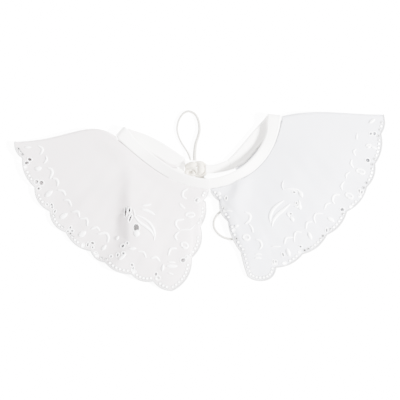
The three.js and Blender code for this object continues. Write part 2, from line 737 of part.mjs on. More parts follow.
const knotGeometry = () => {
  let solid = null;
  for (const turn of KNOT_TURNS) {
    const lump = new THREE.SphereGeometry(0.5, KNOT_SEGMENTS, KNOT_RINGS);
    lump.rotateX(Math.PI / 2);
    lump.scale(turn.length * KNOT_LENGTH, turn.width * KNOT_WIDTH, turn.height * KNOT_HEIGHT);
    lump.translate(
      knotCentre.x + turn.x * KNOT_LENGTH,
      knotCentre.y + turn.y * KNOT_WIDTH,
      knotCentre.z + turn.z * KNOT_HEIGHT,
    );
    solid = solid ? solid.add(solidOf(lump)) : solidOf(lump);
  }
  return geometryOf(solid);
};

// Loops of thin cord

const loopGeometry = (route) => {
  const path = new THREE.CatmullRomCurve3(route.map((point) => new Vector3(...point)), false, "centripetal");
  const radius = LOOP_CORD_DIAMETER / 2;
  const corner = (unused, i) => {
    const angle = (2 * Math.PI * i) / LOOP_SIDES;
    return new THREE.Vector2(radius * Math.cos(angle), radius * Math.sin(angle));
  };
  const section = new THREE.Shape(Array.from({ length: LOOP_SIDES }, corner));
  const steps = Math.round(path.getLength() / (LOOP_DIAMETERS_PER_STEP * LOOP_CORD_DIAMETER));
  return new THREE.ExtrudeGeometry(section, { steps, extrudePath: path, curveSegments: 1 });
};

// Assembly

const collar = new THREE.Group();

const addPiece = (name, geometry, material) => {
  const piece = new THREE.Mesh(geometry, material);
  piece.name = name;
  collar.add(piece);
};

addPiece("neck_band", neckBandGeometry(), BAND_COTTON);
addPiece("wing_left", wingGeometry(SIDES.left), WHITE_LAWN_LEFT);
addPiece("wing_right", wingGeometry(SIDES.right), WHITE_LAWN_RIGHT);
addPiece("tie_left", tieGeometry(SIDES.left, TIE_MEETS_KNOT.left, LEFT_TIE_STEPS), CREAM_CORD);
addPiece("tie_right", tieGeometry(SIDES.right, TIE_MEETS_KNOT.right, RIGHT_TIE_STEPS), CREAM_CORD);
addPiece("tie_knot", knotGeometry(), CREAM_CORD);
addPiece("tie_loop_upper", loopGeometry(UPPER_LOOP_ROUTE), CREAM_CORD);
addPiece("tie_loop_lower", loopGeometry(LOWER_LOOP_ROUTE), CREAM_CORD);

export default collar;
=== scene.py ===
import math

import bmesh
import bpy
import numpy as np
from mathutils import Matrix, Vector
from mathutils.bvhtree import BVHTree
from mathutils.geometry import delaunay_2d_cdt


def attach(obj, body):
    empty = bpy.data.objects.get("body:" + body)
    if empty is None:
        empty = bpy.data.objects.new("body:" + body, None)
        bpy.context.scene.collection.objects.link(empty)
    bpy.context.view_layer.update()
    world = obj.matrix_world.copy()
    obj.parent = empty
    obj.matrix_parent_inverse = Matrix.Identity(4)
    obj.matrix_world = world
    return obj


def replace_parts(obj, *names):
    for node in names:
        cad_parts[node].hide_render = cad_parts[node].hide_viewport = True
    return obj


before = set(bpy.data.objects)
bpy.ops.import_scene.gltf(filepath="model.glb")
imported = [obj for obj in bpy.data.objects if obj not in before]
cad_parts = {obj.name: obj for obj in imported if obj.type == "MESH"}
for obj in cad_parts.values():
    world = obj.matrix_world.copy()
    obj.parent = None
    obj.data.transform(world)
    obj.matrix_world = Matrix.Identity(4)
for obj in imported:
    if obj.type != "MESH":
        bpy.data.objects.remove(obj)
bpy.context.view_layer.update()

bl_info = {
    "name": "Cape Collar",
    "version": (1, 0, 0),
    "blender": (4, 5, 0),
    "location": "View3D > Sidebar > Collar",
    "description": "Dresses a pierced cotton cape collar that lies folded on a pale surface",
    "category": "Object",
}

MM = 0.001

# Lengths in this file are millimetres until a mesh is made. Headings are degrees from +X towards +Y.

# Cloth
CAPE_DEPTH = 103.0
SOLID_CLOTH = 1.2
RIM_LIFT = 2.4
SEAM_LIFT = 5.0
PUFF = 2.6
ROLL_AT_NECK = 3.6
ROLL_AT_RIM = 2.0
SEAM_CLEARANCE = 0.4
SEAM_CLEARANCE_AT_FOLD = 1.0
RIM_SPREAD = 2.2
BACK_LAWN_HEIGHT = 0.32
# rise, turn in a millimetre of x and of y, and start of each faint wave
RIPPLES = ((0.28, 0.071, 0.093, 0.6), (0.2, 0.152, -0.081, 2.1), (0.1, 0.31, 0.23, 4.0))

# Neck band
FRONT_NECK_CHORD = 101.0
BACK_NECK_CHORD = 66.0
FRONT_CENTRE = (9.7, 12.95)
BAND_WIDTH = 11.5
BAND_WIDTH_AT_FOLD = 13.8
BAND_THICKNESS = 1.8
FRONT_BAND_TILT = 35.0
BACK_BAND_TILT = 9.0
BAND_TUCK = 3.5
# Length of a strip's rounded end in shares of its thickness, and its size in shares of the strip's section
STRIP_END = 0.35
STRIP_END_SIZE = 0.72
STITCH_ROWS = (0.13, 0.87)
STITCH_PITCH = 2.9
STITCH_LENGTH = 1.9

# Knot and ties
PLY_LENGTH = 9.0
KNOT_CENTRE = (-4.5, 32.1, 4.2)
KNOT_SIZE = (21.0, 16.0, 8.4)
TIE_WIDTH = 8.4
TIE_THICKNESS = 1.6
TIE_MEETS_KNOT = {"left": (-0.52, 0.14), "right": (0.51, 0.03)}
TAIL_ENDS = (np.array([-33.0, 32.3, 1.2]), np.array([-13.4, 28.4, 2.4]))
TAIL_ARCH = np.array([0, 1.1, 0.9])
TAIL_ACROSS = np.array([0.1, 1.0, 0.12])
TAIL_HALF_WIDTHS = (0.5, 3.0)

# Shares of a seam where the shoulder fold is felt: from there on in front, up to there behind
FOLD_REACH = {"clearance": (0.85, 0.2), "band_lie": (0.9, 0.14), "bow": (0.72, 0.3)}

# chord, heading, leaving heading and handle, arriving heading and handle, in shares of the neck chord
SEAM_LINES = {
    ("left", "front"): (1.028, 151.7, 178, 0.376, 138, 0.376),
    ("right", "front"): (0.977, 44, 8, 0.376, 83, 0.416),
    ("left", "back"): (1.0, -24.9, -5, 0.364, -37, 0.333),
    ("right", "back"): (1.008, 226.8, 217, 0.303, 222, 0.303),
}

# seam share, heading, reach and lobe as shares of the cape depth, share of the rim's lift
RIBS = {
    ("left", "front"): (
        (0.004, 252, 0.032, 0.01, 1.2),
        (0.03, 258.8, 0.106, 0.036, 1.1),
        (0.08, 269, 0.381, 0.05, 1.0),
        (0.14, 267.8, 0.692, 0.06, 0.8),
        (0.2, 261.3, 1.038, 0.025, 0.5),
        (0.27, 254.2, 0.987, 0.034, 0.6),
        (0.36, 246.4, 0.999, 0.034, 0.8),
        (0.46, 236, 1.019, 0.028, 1.0),
        (0.54, 230.7, 1.007, 0.04, 1.0),
        (0.64, 219.3, 1.031, 0.045, 1.0),
        (0.73, 209.9, 1.015, 0.046, 1.0),
        (0.82, 199.3, 1.01, 0.038, 1.1),
        (0.92, 187.0, 1.0, 0.02, 1.4),
        (1.0, 182.7, 1.004, 0, 1.8),
    ),
    ("right", "front"): (
        (0.004, -66.8, 0.037, 0.01, 1.5),
        (0.06, -75.5, 0.137, 0.03, 1.6),
        (0.11, -79.5, 0.344, 0.023, 1.6),
        (0.18, -79.8, 0.67, 0.005, 1.5),
        (0.22, -80.8, 0.919, 0.015, 0.8),
        (0.28, -76.9, 1.005, 0.04, 0.5),
        (0.36, -71.7, 0.933, 0.034, 0.7),
        (0.46, -59.7, 0.939, 0.036, 1.0),
        (0.56, -47.4, 0.94, 0.036, 1.0),
        (0.65, -34.6, 0.941, 0.036, 1.0),
        (0.74, -22.1, 0.995, 0.03, 1.0),
        (0.83, -13.9, 0.991, 0.034, 1.1),
        (0.92, -2.5, 0.993, 0.02, 1.4),
        (1.0, 1.7, 1.005, 0, 1.8),
    ),
    ("left", "back"): (
        (0.0, 182.7, 1.004, 0.004, 0),
        (0.08, 186.5, 1.005, 0.011, 0),
        (0.24, 196.2, 1.054, 0.006, 0),
        (0.42, 207.2, 1.119, 0.001, 0),
        (0.6, 215.3, 1.162, 0.016, 0),
        (0.76, 224.3, 1.158, 0.002, 0),
        (0.9, 231.3, 1.138, 0.008, 0),
        (1.0, 232.4, 1.15, 0, 0),
    ),
    ("right", "back"): (
        (0.0, 1.7, 1.005, 0.004, 0),
        (0.08, -1.5, 1.008, 0.011, 0),
        (0.24, -9.9, 1.056, 0.015, 0),
        (0.42, -18.2, 1.104, 0.031, 0),
        (0.6, -26.0, 1.108, 0.003, 0),
        (0.76, -35.7, 1.079, 0.016, 0),
        (0.9, -46.6, 1.056, 0.012, 0),
        (1.0, -51.4, 1.048, 0, 0),
    ),
}

# width of a crease towards the front and the shoulder, then along, at and rise on its line
CREASES = {
    "left": (
        (0.4, 0.085, ((0.1, 0.68, 0), (0.23, 0.61, 0.03), (0.36, 0.545, 0.045), (0.48, 0.49, 0.052),
                    (0.6, 0.445, 0.055), (0.7, 0.415, 0.052), (0.82, 0.41, 0.048), (1.0, 0.42, 0.035))),
        (0.15, 0.06, ((0.0, 0.84, 0.02), (0.08, 0.86, 0.03), (0.16, 0.9, 0.03), (0.3, 0.95, 0))),
    ),
    "right": (
        (0.06, 0.12, ((0.0, 0.275, 0.02), (0.05, 0.265, 0.03), (0.14, 0.225, 0.03), (0.28, 0.175, 0.012),
                    (0.4, 0.15, 0))),
        (0.07, 0.05, ((0.6, 0.96, 0), (0.75, 0.94, 0.025), (0.92, 0.93, 0))),
    ),
}

# Turn of the wing, bow of its shoulder fold and how fast it falls off, and headings across the fold
SIDES = {
    "left": {
        "turn": -1, "fold_bow": 0.085, "bow_fall": 3,
        "across_band": 138, "at_seam": 117, "across_cloth": 92.4,
    },
    "right": {
        "turn": 1, "fold_bow": 0.035, "bow_fall": 2,
        "across_band": 83, "at_seam": 87, "across_cloth": 91.7,
    },
}

# Routes of the two loops, as the solids have them, in metres
UPPER_LOOP_ROUTE = [
    (-0.0090, 0.0409, 0.0043), (-0.0112, 0.0469, 0.0027), (-0.0143, 0.0525, 0.0015),
    (-0.0182, 0.0585, 0.00125), (-0.0212, 0.0650, 0.00125), (-0.0226, 0.0715, 0.00125),
    (-0.0218, 0.0785, 0.00125), (-0.0192, 0.0845, 0.00125), (-0.0156, 0.0885, 0.00125),
    (-0.0108, 0.0901, 0.00125), (-0.0060, 0.0883, 0.00125), (-0.0024, 0.0835, 0.00125),
    (-0.0006, 0.0770, 0.00125), (-0.0004, 0.0705, 0.00125), (-0.0018, 0.0645, 0.00125),
    (-0.0038, 0.0585, 0.00125), (-0.0048, 0.0525, 0.0014), (-0.0052, 0.0469, 0.0025),
    (-0.0052, 0.0408, 0.0043),
]
LOWER_LOOP_ROUTE = [
    (-0.0027, 0.0247, 0.0026), (-0.0003, 0.0197, 0.0015), (0.0047, 0.0163, 0.00125),
    (0.0117, 0.0141, 0.00125), (0.0187, 0.0109, 0.00125), (0.0240, 0.0059, 0.00125),
    (0.0264, -0.0001, 0.00125), (0.0248, -0.0059, 0.00125), (0.0206, -0.0100, 0.00125),
    (0.0166, -0.0143, 0.00125), (0.0141, -0.0198, 0.00125), (0.0142, -0.0256, 0.00125),
    (0.0172, -0.0309, 0.00125), (0.0222, -0.0350, 0.00125), (0.0282, -0.0373, 0.00125),
    (0.0347, -0.0373, 0.00125), (0.0407, -0.0342, 0.00125), (0.0437, -0.0281, 0.00125),
    (0.0427, -0.0211, 0.00125), (0.0392, -0.0126, 0.00125), (0.0352, -0.0036, 0.00125),
    (0.0307, 0.0049, 0.00125), (0.0252, 0.0115, 0.00125), (0.0187, 0.0162, 0.00125),
    (0.0103, 0.0197, 0.00125), (0.0043, 0.0227, 0.0016), (0.0017, 0.0265, 0.0026),
]


def towards(degrees):
    angle = np.radians(degrees)
    return np.stack([np.cos(angle), np.sin(angle)], -1)


def mix(low, high, share):
    return low + (high - low) * share


def smooth(value, low, high):
    share = np.clip((value - low) / (high - low), 0, 1)
    return share * share * (3 - 2 * share)


def near_fold(what, half, at):
    front, back = FOLD_REACH[what]
    return smooth(at, front, 1) if half == "front" else 1 - smooth(at, 0, back)


def seam_controls(side, half):
    """The four points of the curve where the band meets the cloth"""
    start = np.array(FRONT_CENTRE) if half == "front" else seam_controls(side, "front")[3]
    neck = FRONT_NECK_CHORD if half == "front" else BACK_NECK_CHORD
    chord, heading, leave, leave_by, arrive, arrive_by = SEAM_LINES[side, half]
    end = start + towards(heading) * chord * neck
    return start, start + towards(leave) * leave_by * neck, end - towards(arrive) * arrive_by * neck, end


def seam_points(side, half, at):
    a, b, c, d = seam_controls(side, half)
    at = np.asarray(at, float)[..., None]
    rest = 1 - at
    return rest**3 * a + 3 * rest**2 * at * b + 3 * rest * at**2 * c + at**3 * d


def seam_direction(side, half, at):
    a, b, c, d = seam_controls(side, half)
    at = np.asarray(at, float)[..., None]
    rest = 1 - at
    slope = rest**2 * (b - a) + 2 * rest * at * (c - b) + at**2 * (d - c)
    return slope / np.linalg.norm(slope, axis=-1, keepdims=True)


def unit(vectors):
    return vectors / np.maximum(np.linalg.norm(vectors, axis=-1, keepdims=True), 1e-9)


def distance_along(path):
    return np.concatenate([[0], np.cumsum(np.linalg.norm(np.diff(path, axis=0), axis=-1))])


def resampled(wanted, travelled, values):
    """Values at the wanted distances along the path that they belong to"""
    return np.stack([np.interp(wanted, travelled, column) for column in values.T], -1)


def lie_across_band(side, half, at):
    """Level direction from the band's seam to its free edge"""
    turn = SIDES[side]["turn"]
    away = seam_direction(side, half, at) * (1 if half == "front" else -1)
    inward = np.stack([-away[..., 1], away[..., 0]], -1) * turn
    at_fold = towards(SIDES[side]["across_band"] + 90 * turn)
    share = near_fold("band_lie", half, at)[..., None]
    return unit(mix(inward, at_fold, share))


def level_points(side, half, at, along):
    """Where a place on the cloth lies as seen from above"""
    at, along = np.broadcast_arrays(np.asarray(at, float), np.asarray(along, float))
    seam, heading, reach, lobe = (np.array([rib[i] for rib in RIBS[side, half]], float) for i in range(4))
    notches = seam_points(side, half, seam) + towards(heading) * (reach * CAPE_DEPTH)[:, None]
    upper = np.clip(np.searchsorted(seam, at - 1e-9), 1, len(seam) - 1)
    lower = upper - 1
    share = (at - seam[lower]) / (seam[upper] - seam[lower])
    start = seam_points(side, half, at)
    chord = notches[upper] - notches[lower]
    outward = unit(np.stack([chord[..., 1], -chord[..., 0]], -1))
    turned = ((notches[lower] - start) * outward).sum(-1) < 0
    outward = np.where(turned[..., None], -outward, outward)
    bulge = lobe[lower] * CAPE_DEPTH * 4 * share * (1 - share)
    rim = mix(notches[lower], notches[upper], share[..., None]) + outward * bulge[..., None]
    clearance = mix(SEAM_CLEARANCE, SEAM_CLEARANCE_AT_FOLD, near_fold("clearance", half, at))
    start = start - lie_across_band(side, half, at) * clearance[..., None]
    rib = rim - start
    direction = unit(rib)
    fall = SIDES[side]["bow_fall"]
    bulged = along * (1 - along) ** fall * (fall + 1) ** (fall + 1) / fall**fall
    bow = SIDES[side]["fold_bow"] * CAPE_DEPTH * near_fold("bow", half, at) * bulged
    aside = np.stack([direction[..., 1], -direction[..., 0]], -1) * -SIDES[side]["turn"]
    return start + rib * along[..., None] + aside * bow[..., None]


def roll_radius(along):
    return mix(ROLL_AT_NECK, ROLL_AT_RIM, along)


def seam_height(at, thickness):
    return mix(SEAM_LIFT, thickness / 2 + 2 * ROLL_AT_NECK, smooth(at, 0.68, 1))


def crease_height(side, at, along):
    height = np.zeros_like(at)
    for towards_front, towards_shoulder, line in CREASES[side]:
        place, ridge, rise = (np.array(column, float) for column in zip(*line))
        away = (at - np.interp(along, place, ridge)) * FRONT_NECK_CHORD * mix(1, RIM_SPREAD, along)
        width = CAPE_DEPTH * np.where(away < 0, towards_front, towards_shoulder)
        height = height + np.interp(along, place, rise) * CAPE_DEPTH * np.exp(-((away / width) ** 2))
    return height


def front_height(side, at, along):
    seam, lift = (np.array([rib[i] for rib in RIBS[side, "front"]], float) for i in (0, 4))
    rim = RIM_LIFT * np.interp(at, seam, lift)
    puff = PUFF * np.sin(np.pi * along) * smooth(at, 0, 0.2)
    hang = mix(seam_height(at, SOLID_CLOTH), rim, smooth(along, 0, 1))
    folded = SOLID_CLOTH / 2 + 2 * roll_radius(along)
    return mix(hang + puff + crease_height(side, at, along), folded, smooth(at, 0.72, 1))


def ripple(side, x, y):
    """Faint waves of cloth that was pressed and has relaxed"""
    turn = SIDES[side]["turn"]
    return sum(rise * np.sin(by_x * x * turn + by_y * y + begin) for rise, by_x, by_y, begin in RIPPLES)


def front_places(side, at, along):
    at, along = np.broadcast_arrays(np.asarray(at, float), np.asarray(along, float))
    level = level_points(side, "front", at, along)
    fade = (1 - smooth(at, 0.7, 0.95)) * smooth(along, 0.02, 0.3)
    height = front_height(side, at, along) + fade * ripple(side, level[..., 0], level[..., 1])
    return np.concatenate([level, height[..., None]], -1)


def roll_places(side, along, half_turn):
    """The front sheet turns over at the shoulder and runs back underneath"""
    along, half_turn = np.broadcast_arrays(np.asarray(along, float), np.asarray(half_turn, float))
    level = level_points(side, "front", np.ones_like(along), along)
    radius = roll_radius(along)
    heading = mix(SIDES[side]["at_seam"], SIDES[side]["across_cloth"], smooth(along, 0, 0.25))
    level = level + towards(heading) * (radius * np.sin(half_turn))[..., None]
    top = SOLID_CLOTH / 2 + 2 * radius
    height = mix(BACK_LAWN_HEIGHT, top, (1 + np.cos(half_turn)) / 2)
    return np.concatenate([level, height[..., None]], -1)


def back_places(side, at, along):
    level = level_points(side, "back", at, along)
    return np.concatenate([level, np.full(level.shape[:-1] + (1,), BACK_LAWN_HEIGHT)], -1)


def rib_steps(side, half, per_lobe):
    """Shares of a seam, with one at each notch of the rim"""
    seams = [rib[0] for rib in RIBS[side, half]]
    steps = [np.linspace(a, b, per_lobe, endpoint=False) for a, b in zip(seams, seams[1:])]
    return np.concatenate([*steps, [seams[-1]]])


FOLD_ROWS = 64
ROLL_STEPS = 12
SURFACES = {}


def surface(side, half):
    """A fine grid of the whole cloth, and a tree that finds the cloth above or below a level point"""
    if (side, half) not in SURFACES:
        at = rib_steps(side, half, 18 if half == "front" else 16)[:, None]
        along = np.linspace(0, 1, 81)[None, :]
        grid = (front_places if half == "front" else back_places)(side, at, along)
        columns, rows = grid.shape[:2]
        index = np.arange(columns * rows).reshape(columns, rows)
        quads = np.stack([index[:-1, :-1], index[1:, :-1], index[1:, 1:], index[:-1, 1:]], -1)
        tree = BVHTree.FromPolygons(grid.reshape(-1, 3).tolist(), quads.reshape(-1, 4).tolist())
        SURFACES[side, half] = grid, tree
    return SURFACES[side, half]


def on_cloth(side, half, points):
    """Height and upward normal of the cloth at level points"""
    tree = surface(side, half)[1]
    heights, normals = [], []
    for x, y in points:
        place, normal, _, _ = tree.ray_cast(Vector((x, y, 60)), Vector((0, 0, -1)))
        if place is None:
            place, normal, _, _ = tree.find_nearest(Vector((x, y, 2)))
        heights.append(place.z)
        normals.append(normal if normal.z > 0 else -normal)
    return np.array(heights), np.array(normals)


def outline_of(side, half):
    """The edge of half a wing as one loop of places: seam, fold or back edge, rim, front edge"""
    places = front_places if half == "front" else back_places
    rim_at = rib_steps(side, half, 24)
    rows = np.linspace(0, 1, FOLD_ROWS + 1)
    seam_at = np.linspace(rim_at[0], 1, 90)
    first = places(side, rim_at[0], rows)
    last = places(side, 1.0, rows)
    seam = places(side, seam_at[:-1], 0.0)
    rim = places(side, rim_at[::-1], 1.0)
    return np.concatenate([seam, last[:-1], rim[:-1], first[::-1][:-1]])


def inside_loop(points, loop):
    inside = np.zeros(len(points), bool)
    for (x1, y1), (x2, y2) in zip(loop, np.roll(loop, -1, 0)):
        crosses = (y1 > points[:, 1]) != (y2 > points[:, 1])
        if y1 != y2:
            inside ^= crosses & (points[:, 0] < (x2 - x1) * (points[:, 1] - y1) / (y2 - y1) + x1)
    return inside


def nearest_distance(points, others):
    best = np.full(len(points), np.inf)
    for start in range(0, len(others), 200):
        part = others[start : start + 200]
        away = np.linalg.norm(points[:, None] - part[None], axis=-1)
        best = np.minimum(best, away.min(1))
    return best


HOLE_SIDES = 14


def hole_loop(hole):
    x, y, length, width, heading = hole
    turn = np.linspace(0, 2 * np.pi, HOLE_SIDES, endpoint=False)
    main, aside = towards(heading), towards(heading + 90)
    return np.array([x, y]) + np.outer(np.cos(turn) * length, main) + np.outer(np.sin(turn) * width, aside)


def pierced_half(bm, side, half, holes, spacing):
    """Half a wing as a mesh of small faces with its eyelets cut through"""
    edge = outline_of(side, half)
    loops = [edge[:, :2]] + [hole_loop(hole) for hole in holes]
    low, high = edge[:, :2].min(0), edge[:, :2].max(0)
    columns = np.arange(low[0], high[0], spacing)
    rows = np.arange(low[1], high[1], spacing * 0.87)
    x, y = np.meshgrid(columns, rows)
    x = x + (np.arange(len(rows)) % 2)[:, None] * spacing / 2
    points = np.stack([x.ravel(), y.ravel()], -1)
    points = points[inside_loop(points, loops[0])]
    points = points[nearest_distance(points, loops[0]) > 0.6 * spacing]
    if holes:
        points = points[nearest_distance(points, np.concatenate(loops[1:])) > 0.5 * spacing]
        for hx, hy, length, _, _ in holes:
            points = points[np.hypot(points[:, 0] - hx, points[:, 1] - hy) > length + 0.1]
    coords, edges, loop_of = [], [], []
    for number, loop in enumerate(loops):
        first = len(coords)
        coords += [Vector(p) for p in loop.tolist()]
        loop_of += [number] * len(loop)
        edges += [(first + i, first + (i + 1) % len(loop)) for i in range(len(loop))]
    coords += [Vector(p) for p in points.tolist()]
    loop_of += [-1] * len(points)
    verts, _, faces, origins, _, _ = delaunay_2d_cdt(coords, edges, [], 1, 1e-5)
    owner = [loop_of[o[0]] if o else -1 for o in origins]
    heights, _ = on_cloth(side, half, [(v.x, v.y) for v in verts])
    for i, o in enumerate(origins):
        if o and o[0] < len(edge):
            heights[i] = edge[o[0]][2]
    made = [bm.verts.new((v.x, v.y, h)) for v, h in zip(verts, heights)]
    for face in faces:
        owners = {owner[i] for i in face}
        if len(owners) == 1 and min(owners) > 0:
            continue
        bm.faces.new([made[i] for i in face])


def shaped_grid(bm, places, weld=True):
    """A grid operator's mesh, laid over an array of places, its meeting edges and poles merged"""
    columns, rows = places.shape[0] - 1, places.shape[1] - 1
    made = bmesh.ops.create_grid(bm, x_segments=columns, y_segments=rows, size=1.0)["verts"]
    uv = bm.loops.layers.uv.verify()
    index = {}
    for vert in made:
        i, j = round((vert.co.x + 1) / 2 * columns), round((vert.co.y + 1) / 2 * rows)
        index[vert] = (i, j)
        vert.co = places[i, j]
    along = distance_along(places.mean(1))
    around = np.concatenate([[0], np.cumsum(np.linalg.norm(np.diff(places, axis=1), axis=-1).max(0))])
    for face in {face for vert in made for face in vert.link_faces}:
        face.smooth = True
        for loop in face.loops:
            i, j = index[loop.vert]
            loop[uv].uv = (along[i] * MM, around[j] * MM)
    if weld:
        bmesh.ops.remove_doubles(bm, verts=made, dist=0.002)


def closed_path_frames(path, hint):
    """Tangent, side and normal at each point of a path, the side lying as near to hint as it can"""
    tangent = unit(np.gradient(path, axis=0))
    side = unit(hint - tangent * (hint * tangent).sum(-1, keepdims=True))
    return tangent, side, np.cross(tangent, side)


def tube_places(path, hint, half_width, half_height, sides=10):
    """Places of a closed tube of oval section along a path, its ends rounded"""
    path = np.asarray(path, float)
    count = len(path)
    half_width = np.broadcast_to(np.asarray(half_width, float), (count,)).copy()
    half_height = np.broadcast_to(np.asarray(half_height, float), (count,)).copy()
    tangent, side, normal = closed_path_frames(path, np.broadcast_to(np.asarray(hint, float), path.shape))
    reach = np.array([-1.0, -0.8, -0.4])
    scale = np.array([0.0, 0.55, 0.88])
    start = path[0] + tangent[0] * reach[:, None] * half_height[0]
    end = path[-1] - tangent[-1] * reach[::-1, None] * half_height[-1]
    path = np.concatenate([start, path, end])
    half_width = np.concatenate([scale * half_width[0], half_width, scale[::-1] * half_width[-1]])
    half_height = np.concatenate([scale * half_height[0], half_height, scale[::-1] * half_height[-1]])
    side = np.concatenate([np.repeat(side[:1], 3, 0), side, np.repeat(side[-1:], 3, 0)])
    normal = np.concatenate([np.repeat(normal[:1], 3, 0), normal, np.repeat(normal[-1:], 3, 0)])
    turn = np.linspace(0, 2 * np.pi, sides + 1)
    across = side[:, None] * np.cos(turn)[None, :, None] * half_width[:, None, None]
    through = normal[:, None] * np.sin(turn)[None, :, None] * half_height[:, None, None]
    return path[:, None] + across + through


def smooth_path(points, step):
    """A rounded line through the points, with places about a step apart"""
    points = np.asarray(points, float)
    ends = np.concatenate([[2 * points[0] - points[1]], points, [2 * points[-1] - points[-2]]])
    knots = np.concatenate([[0], np.cumsum(np.linalg.norm(np.diff(ends, axis=0), axis=-1) ** 0.5)])
    path = []
    for i in range(len(points) - 1):
        p, t = ends[i : i + 4], knots[i : i + 4]
        count = max(2, int(math.ceil(np.linalg.norm(p[2] - p[1]) / step)))
        for s in np.linspace(t[1], t[2], count, endpoint=False):
            a = [((t[k + 1] - s) * p[k] + (s - t[k]) * p[k + 1]) / (t[k + 1] - t[k]) for k in range(3)]
            b = [((t[k + 2] - s) * a[k] + (s - t[k]) * a[k + 1]) / (t[k + 2] - t[k]) for k in range(2)]
            path.append(((t[2] - s) * b[0] + (s - t[1]) * b[1]) / (t[2] - t[1]))
    return np.array([*path, points[-1]])


def finished(bm, name, material):
    """Turns a mesh in millimetres into a piece of the collar that rides on its body"""
    bmesh.ops.scale(bm, vec=(MM, MM, MM), verts=bm.verts)
    mesh = bpy.data.meshes.new(name)
    bm.to_mesh(mesh)
    bm.free()
    mesh.shade_smooth()
    mesh.materials.append(material)
    piece = bpy.data.objects.new(name, mesh)
    bpy.context.scene.collection.objects.link(piece)
    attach(piece, "root")
    return piece


def solid_piece(places, name, finish):
    """One closed grid of places as a finished piece whose faces look outwards"""
    bm = bmesh.new()
    shaped_grid(bm, places)
    bmesh.ops.recalc_face_normals(bm, faces=bm.faces)
    return finished(bm, name, finish_of(finish))


# Embroidery, in millimetres of the frame. Eyelets: x, y, half length, half width, heading.
LEFT_EYELETS = [
    (-174.3, 44.0, 1.9, 1.6, 0), (-169.8, 42.0, 1.9, 1.4, 160), (-172.8, 38.5, 1.9, 1.3, 10),
    (-174.3, 34.2, 0.9, 0.9, 0), (-172.2, 34.3, 0.9, 0.9, 0),
    (-163.2, 19.5, 1.8, 1.6, 40), (-158.2, 18.5, 1.9, 1.9, 0), (-160.9, 13.0, 1.4, 1.1, 20),
    (-152.8, -3.0, 1.0, 1.0, 0), (-152.3, -5.3, 0.9, 0.9, 0), (-147.9, -4.4, 2.2, 1.1, 100),
    (-148.6, -8.7, 1.1, 0.9, 90), (-144.8, -9.8, 1.4, 0.8, 70),
    (-129.4, -26.2, 1.3, 0.9, 70), (-126.9, -25.4, 0.9, 0.9, 0), (-127.5, -29.4, 1.1, 0.9, 20),
    (-131.8, -29.7, 0.9, 0.8, 0),
    (-116.9, -43.9, 1.5, 0.8, 80), (-112.0, -43.0, 1.7, 0.8, 75), (-107.2, -41.5, 1.5, 1.0, 170),
    (-107.0, -45.9, 0.9, 0.9, 0), (-104.0, -51.6, 1.4, 0.9, 160), (-102.8, -54.2, 1.0, 0.8, 170),
    (-88.6, -54.8, 1.0, 0.9, 0), (-81.9, -53.4, 1.5, 0.9, 75), (-76.3, -51.6, 1.2, 0.9, 0),
    (-76.8, -44.4, 1.6, 1.2, 30), (-72.3, -41.6, 1.0, 0.9, 0),
    (-67.8, -63.2, 1.2, 1.1, 0), (-66.8, -67.4, 1.8, 0.9, 70), (-65.5, -70.5, 1.4, 1.0, 50),
    (-43.9, -72.6, 1.6, 1.1, 70), (-41.9, -76.5, 1.7, 1.4, 40),
    (-16.8, -58.6, 2.1, 1.8, 30), (-13.0, -55.6, 1.3, 1.2, 0),
    (-2.6, 1.3, 1.9, 1.6, 20),
    (-73.7, -10.6, 4.3, 0.9, 86), (-70.1, -8.8, 2.2, 0.9, 80), (-67.4, -6.7, 1.3, 0.9, 60),
    (-69.3, -16.8, 3.2, 0.9, 70), (-63.3, -26.1, 3.3, 2.5, 95),
]
RIGHT_EYELETS = [
    (170.5, 67.6, 1.2, 1.0, 20), (174.2, 67.7, 1.4, 1.4, 0),
    (167.6, 41.1, 1.9, 1.5, 150), (161.7, 9.3, 1.3, 0.9, 90), (161.7, 5.6, 1.1, 1.0, 0),
    (159.8, 5.3, 0.9, 0.9, 0), (159.0, 10.5, 1.6, 0.8, 95),
    (142.2, -8.0, 1.7, 1.5, 0), (147.1, -8.2, 1.5, 1.1, 100), (151.0, -5.3, 1.1, 0.9, 0),
    (126.6, -28.6, 1.8, 0.8, 90), (131.6, -29.9, 1.0, 0.9, 0),
    (100.4, -45.1, 1.1, 0.9, 0), (99.9, -47.1, 0.9, 0.8, 0), (102.5, -46.2, 1.4, 0.9, 130),
    (99.5, -50.6, 1.0, 0.8, 90),
    (73.2, -60.6, 2.0, 0.7, 90), (75.8, -60.9, 2.0, 1.0, 95), (84.6, -61.8, 1.3, 1.0, 0),
    (86.2, -64.6, 1.7, 0.8, 90), (83.0, -53.0, 1.6, 0.9, 115),
    (23.2, -4.7, 2.2, 1.6, 100), (20.8, 0.5, 1.2, 0.9, 60), (26.2, 3.3, 1.5, 0.8, 90),
    (27.4, -18.6, 1.2, 0.8, 80), (33.6, -28.8, 1.2, 0.8, 80),
    (93.9, 9.3, 1.3, 0.7, 175), (96.3, -1.6, 1.0, 0.65, 70), (90.6, -12.3, 0.9, 0.75, 0),
]

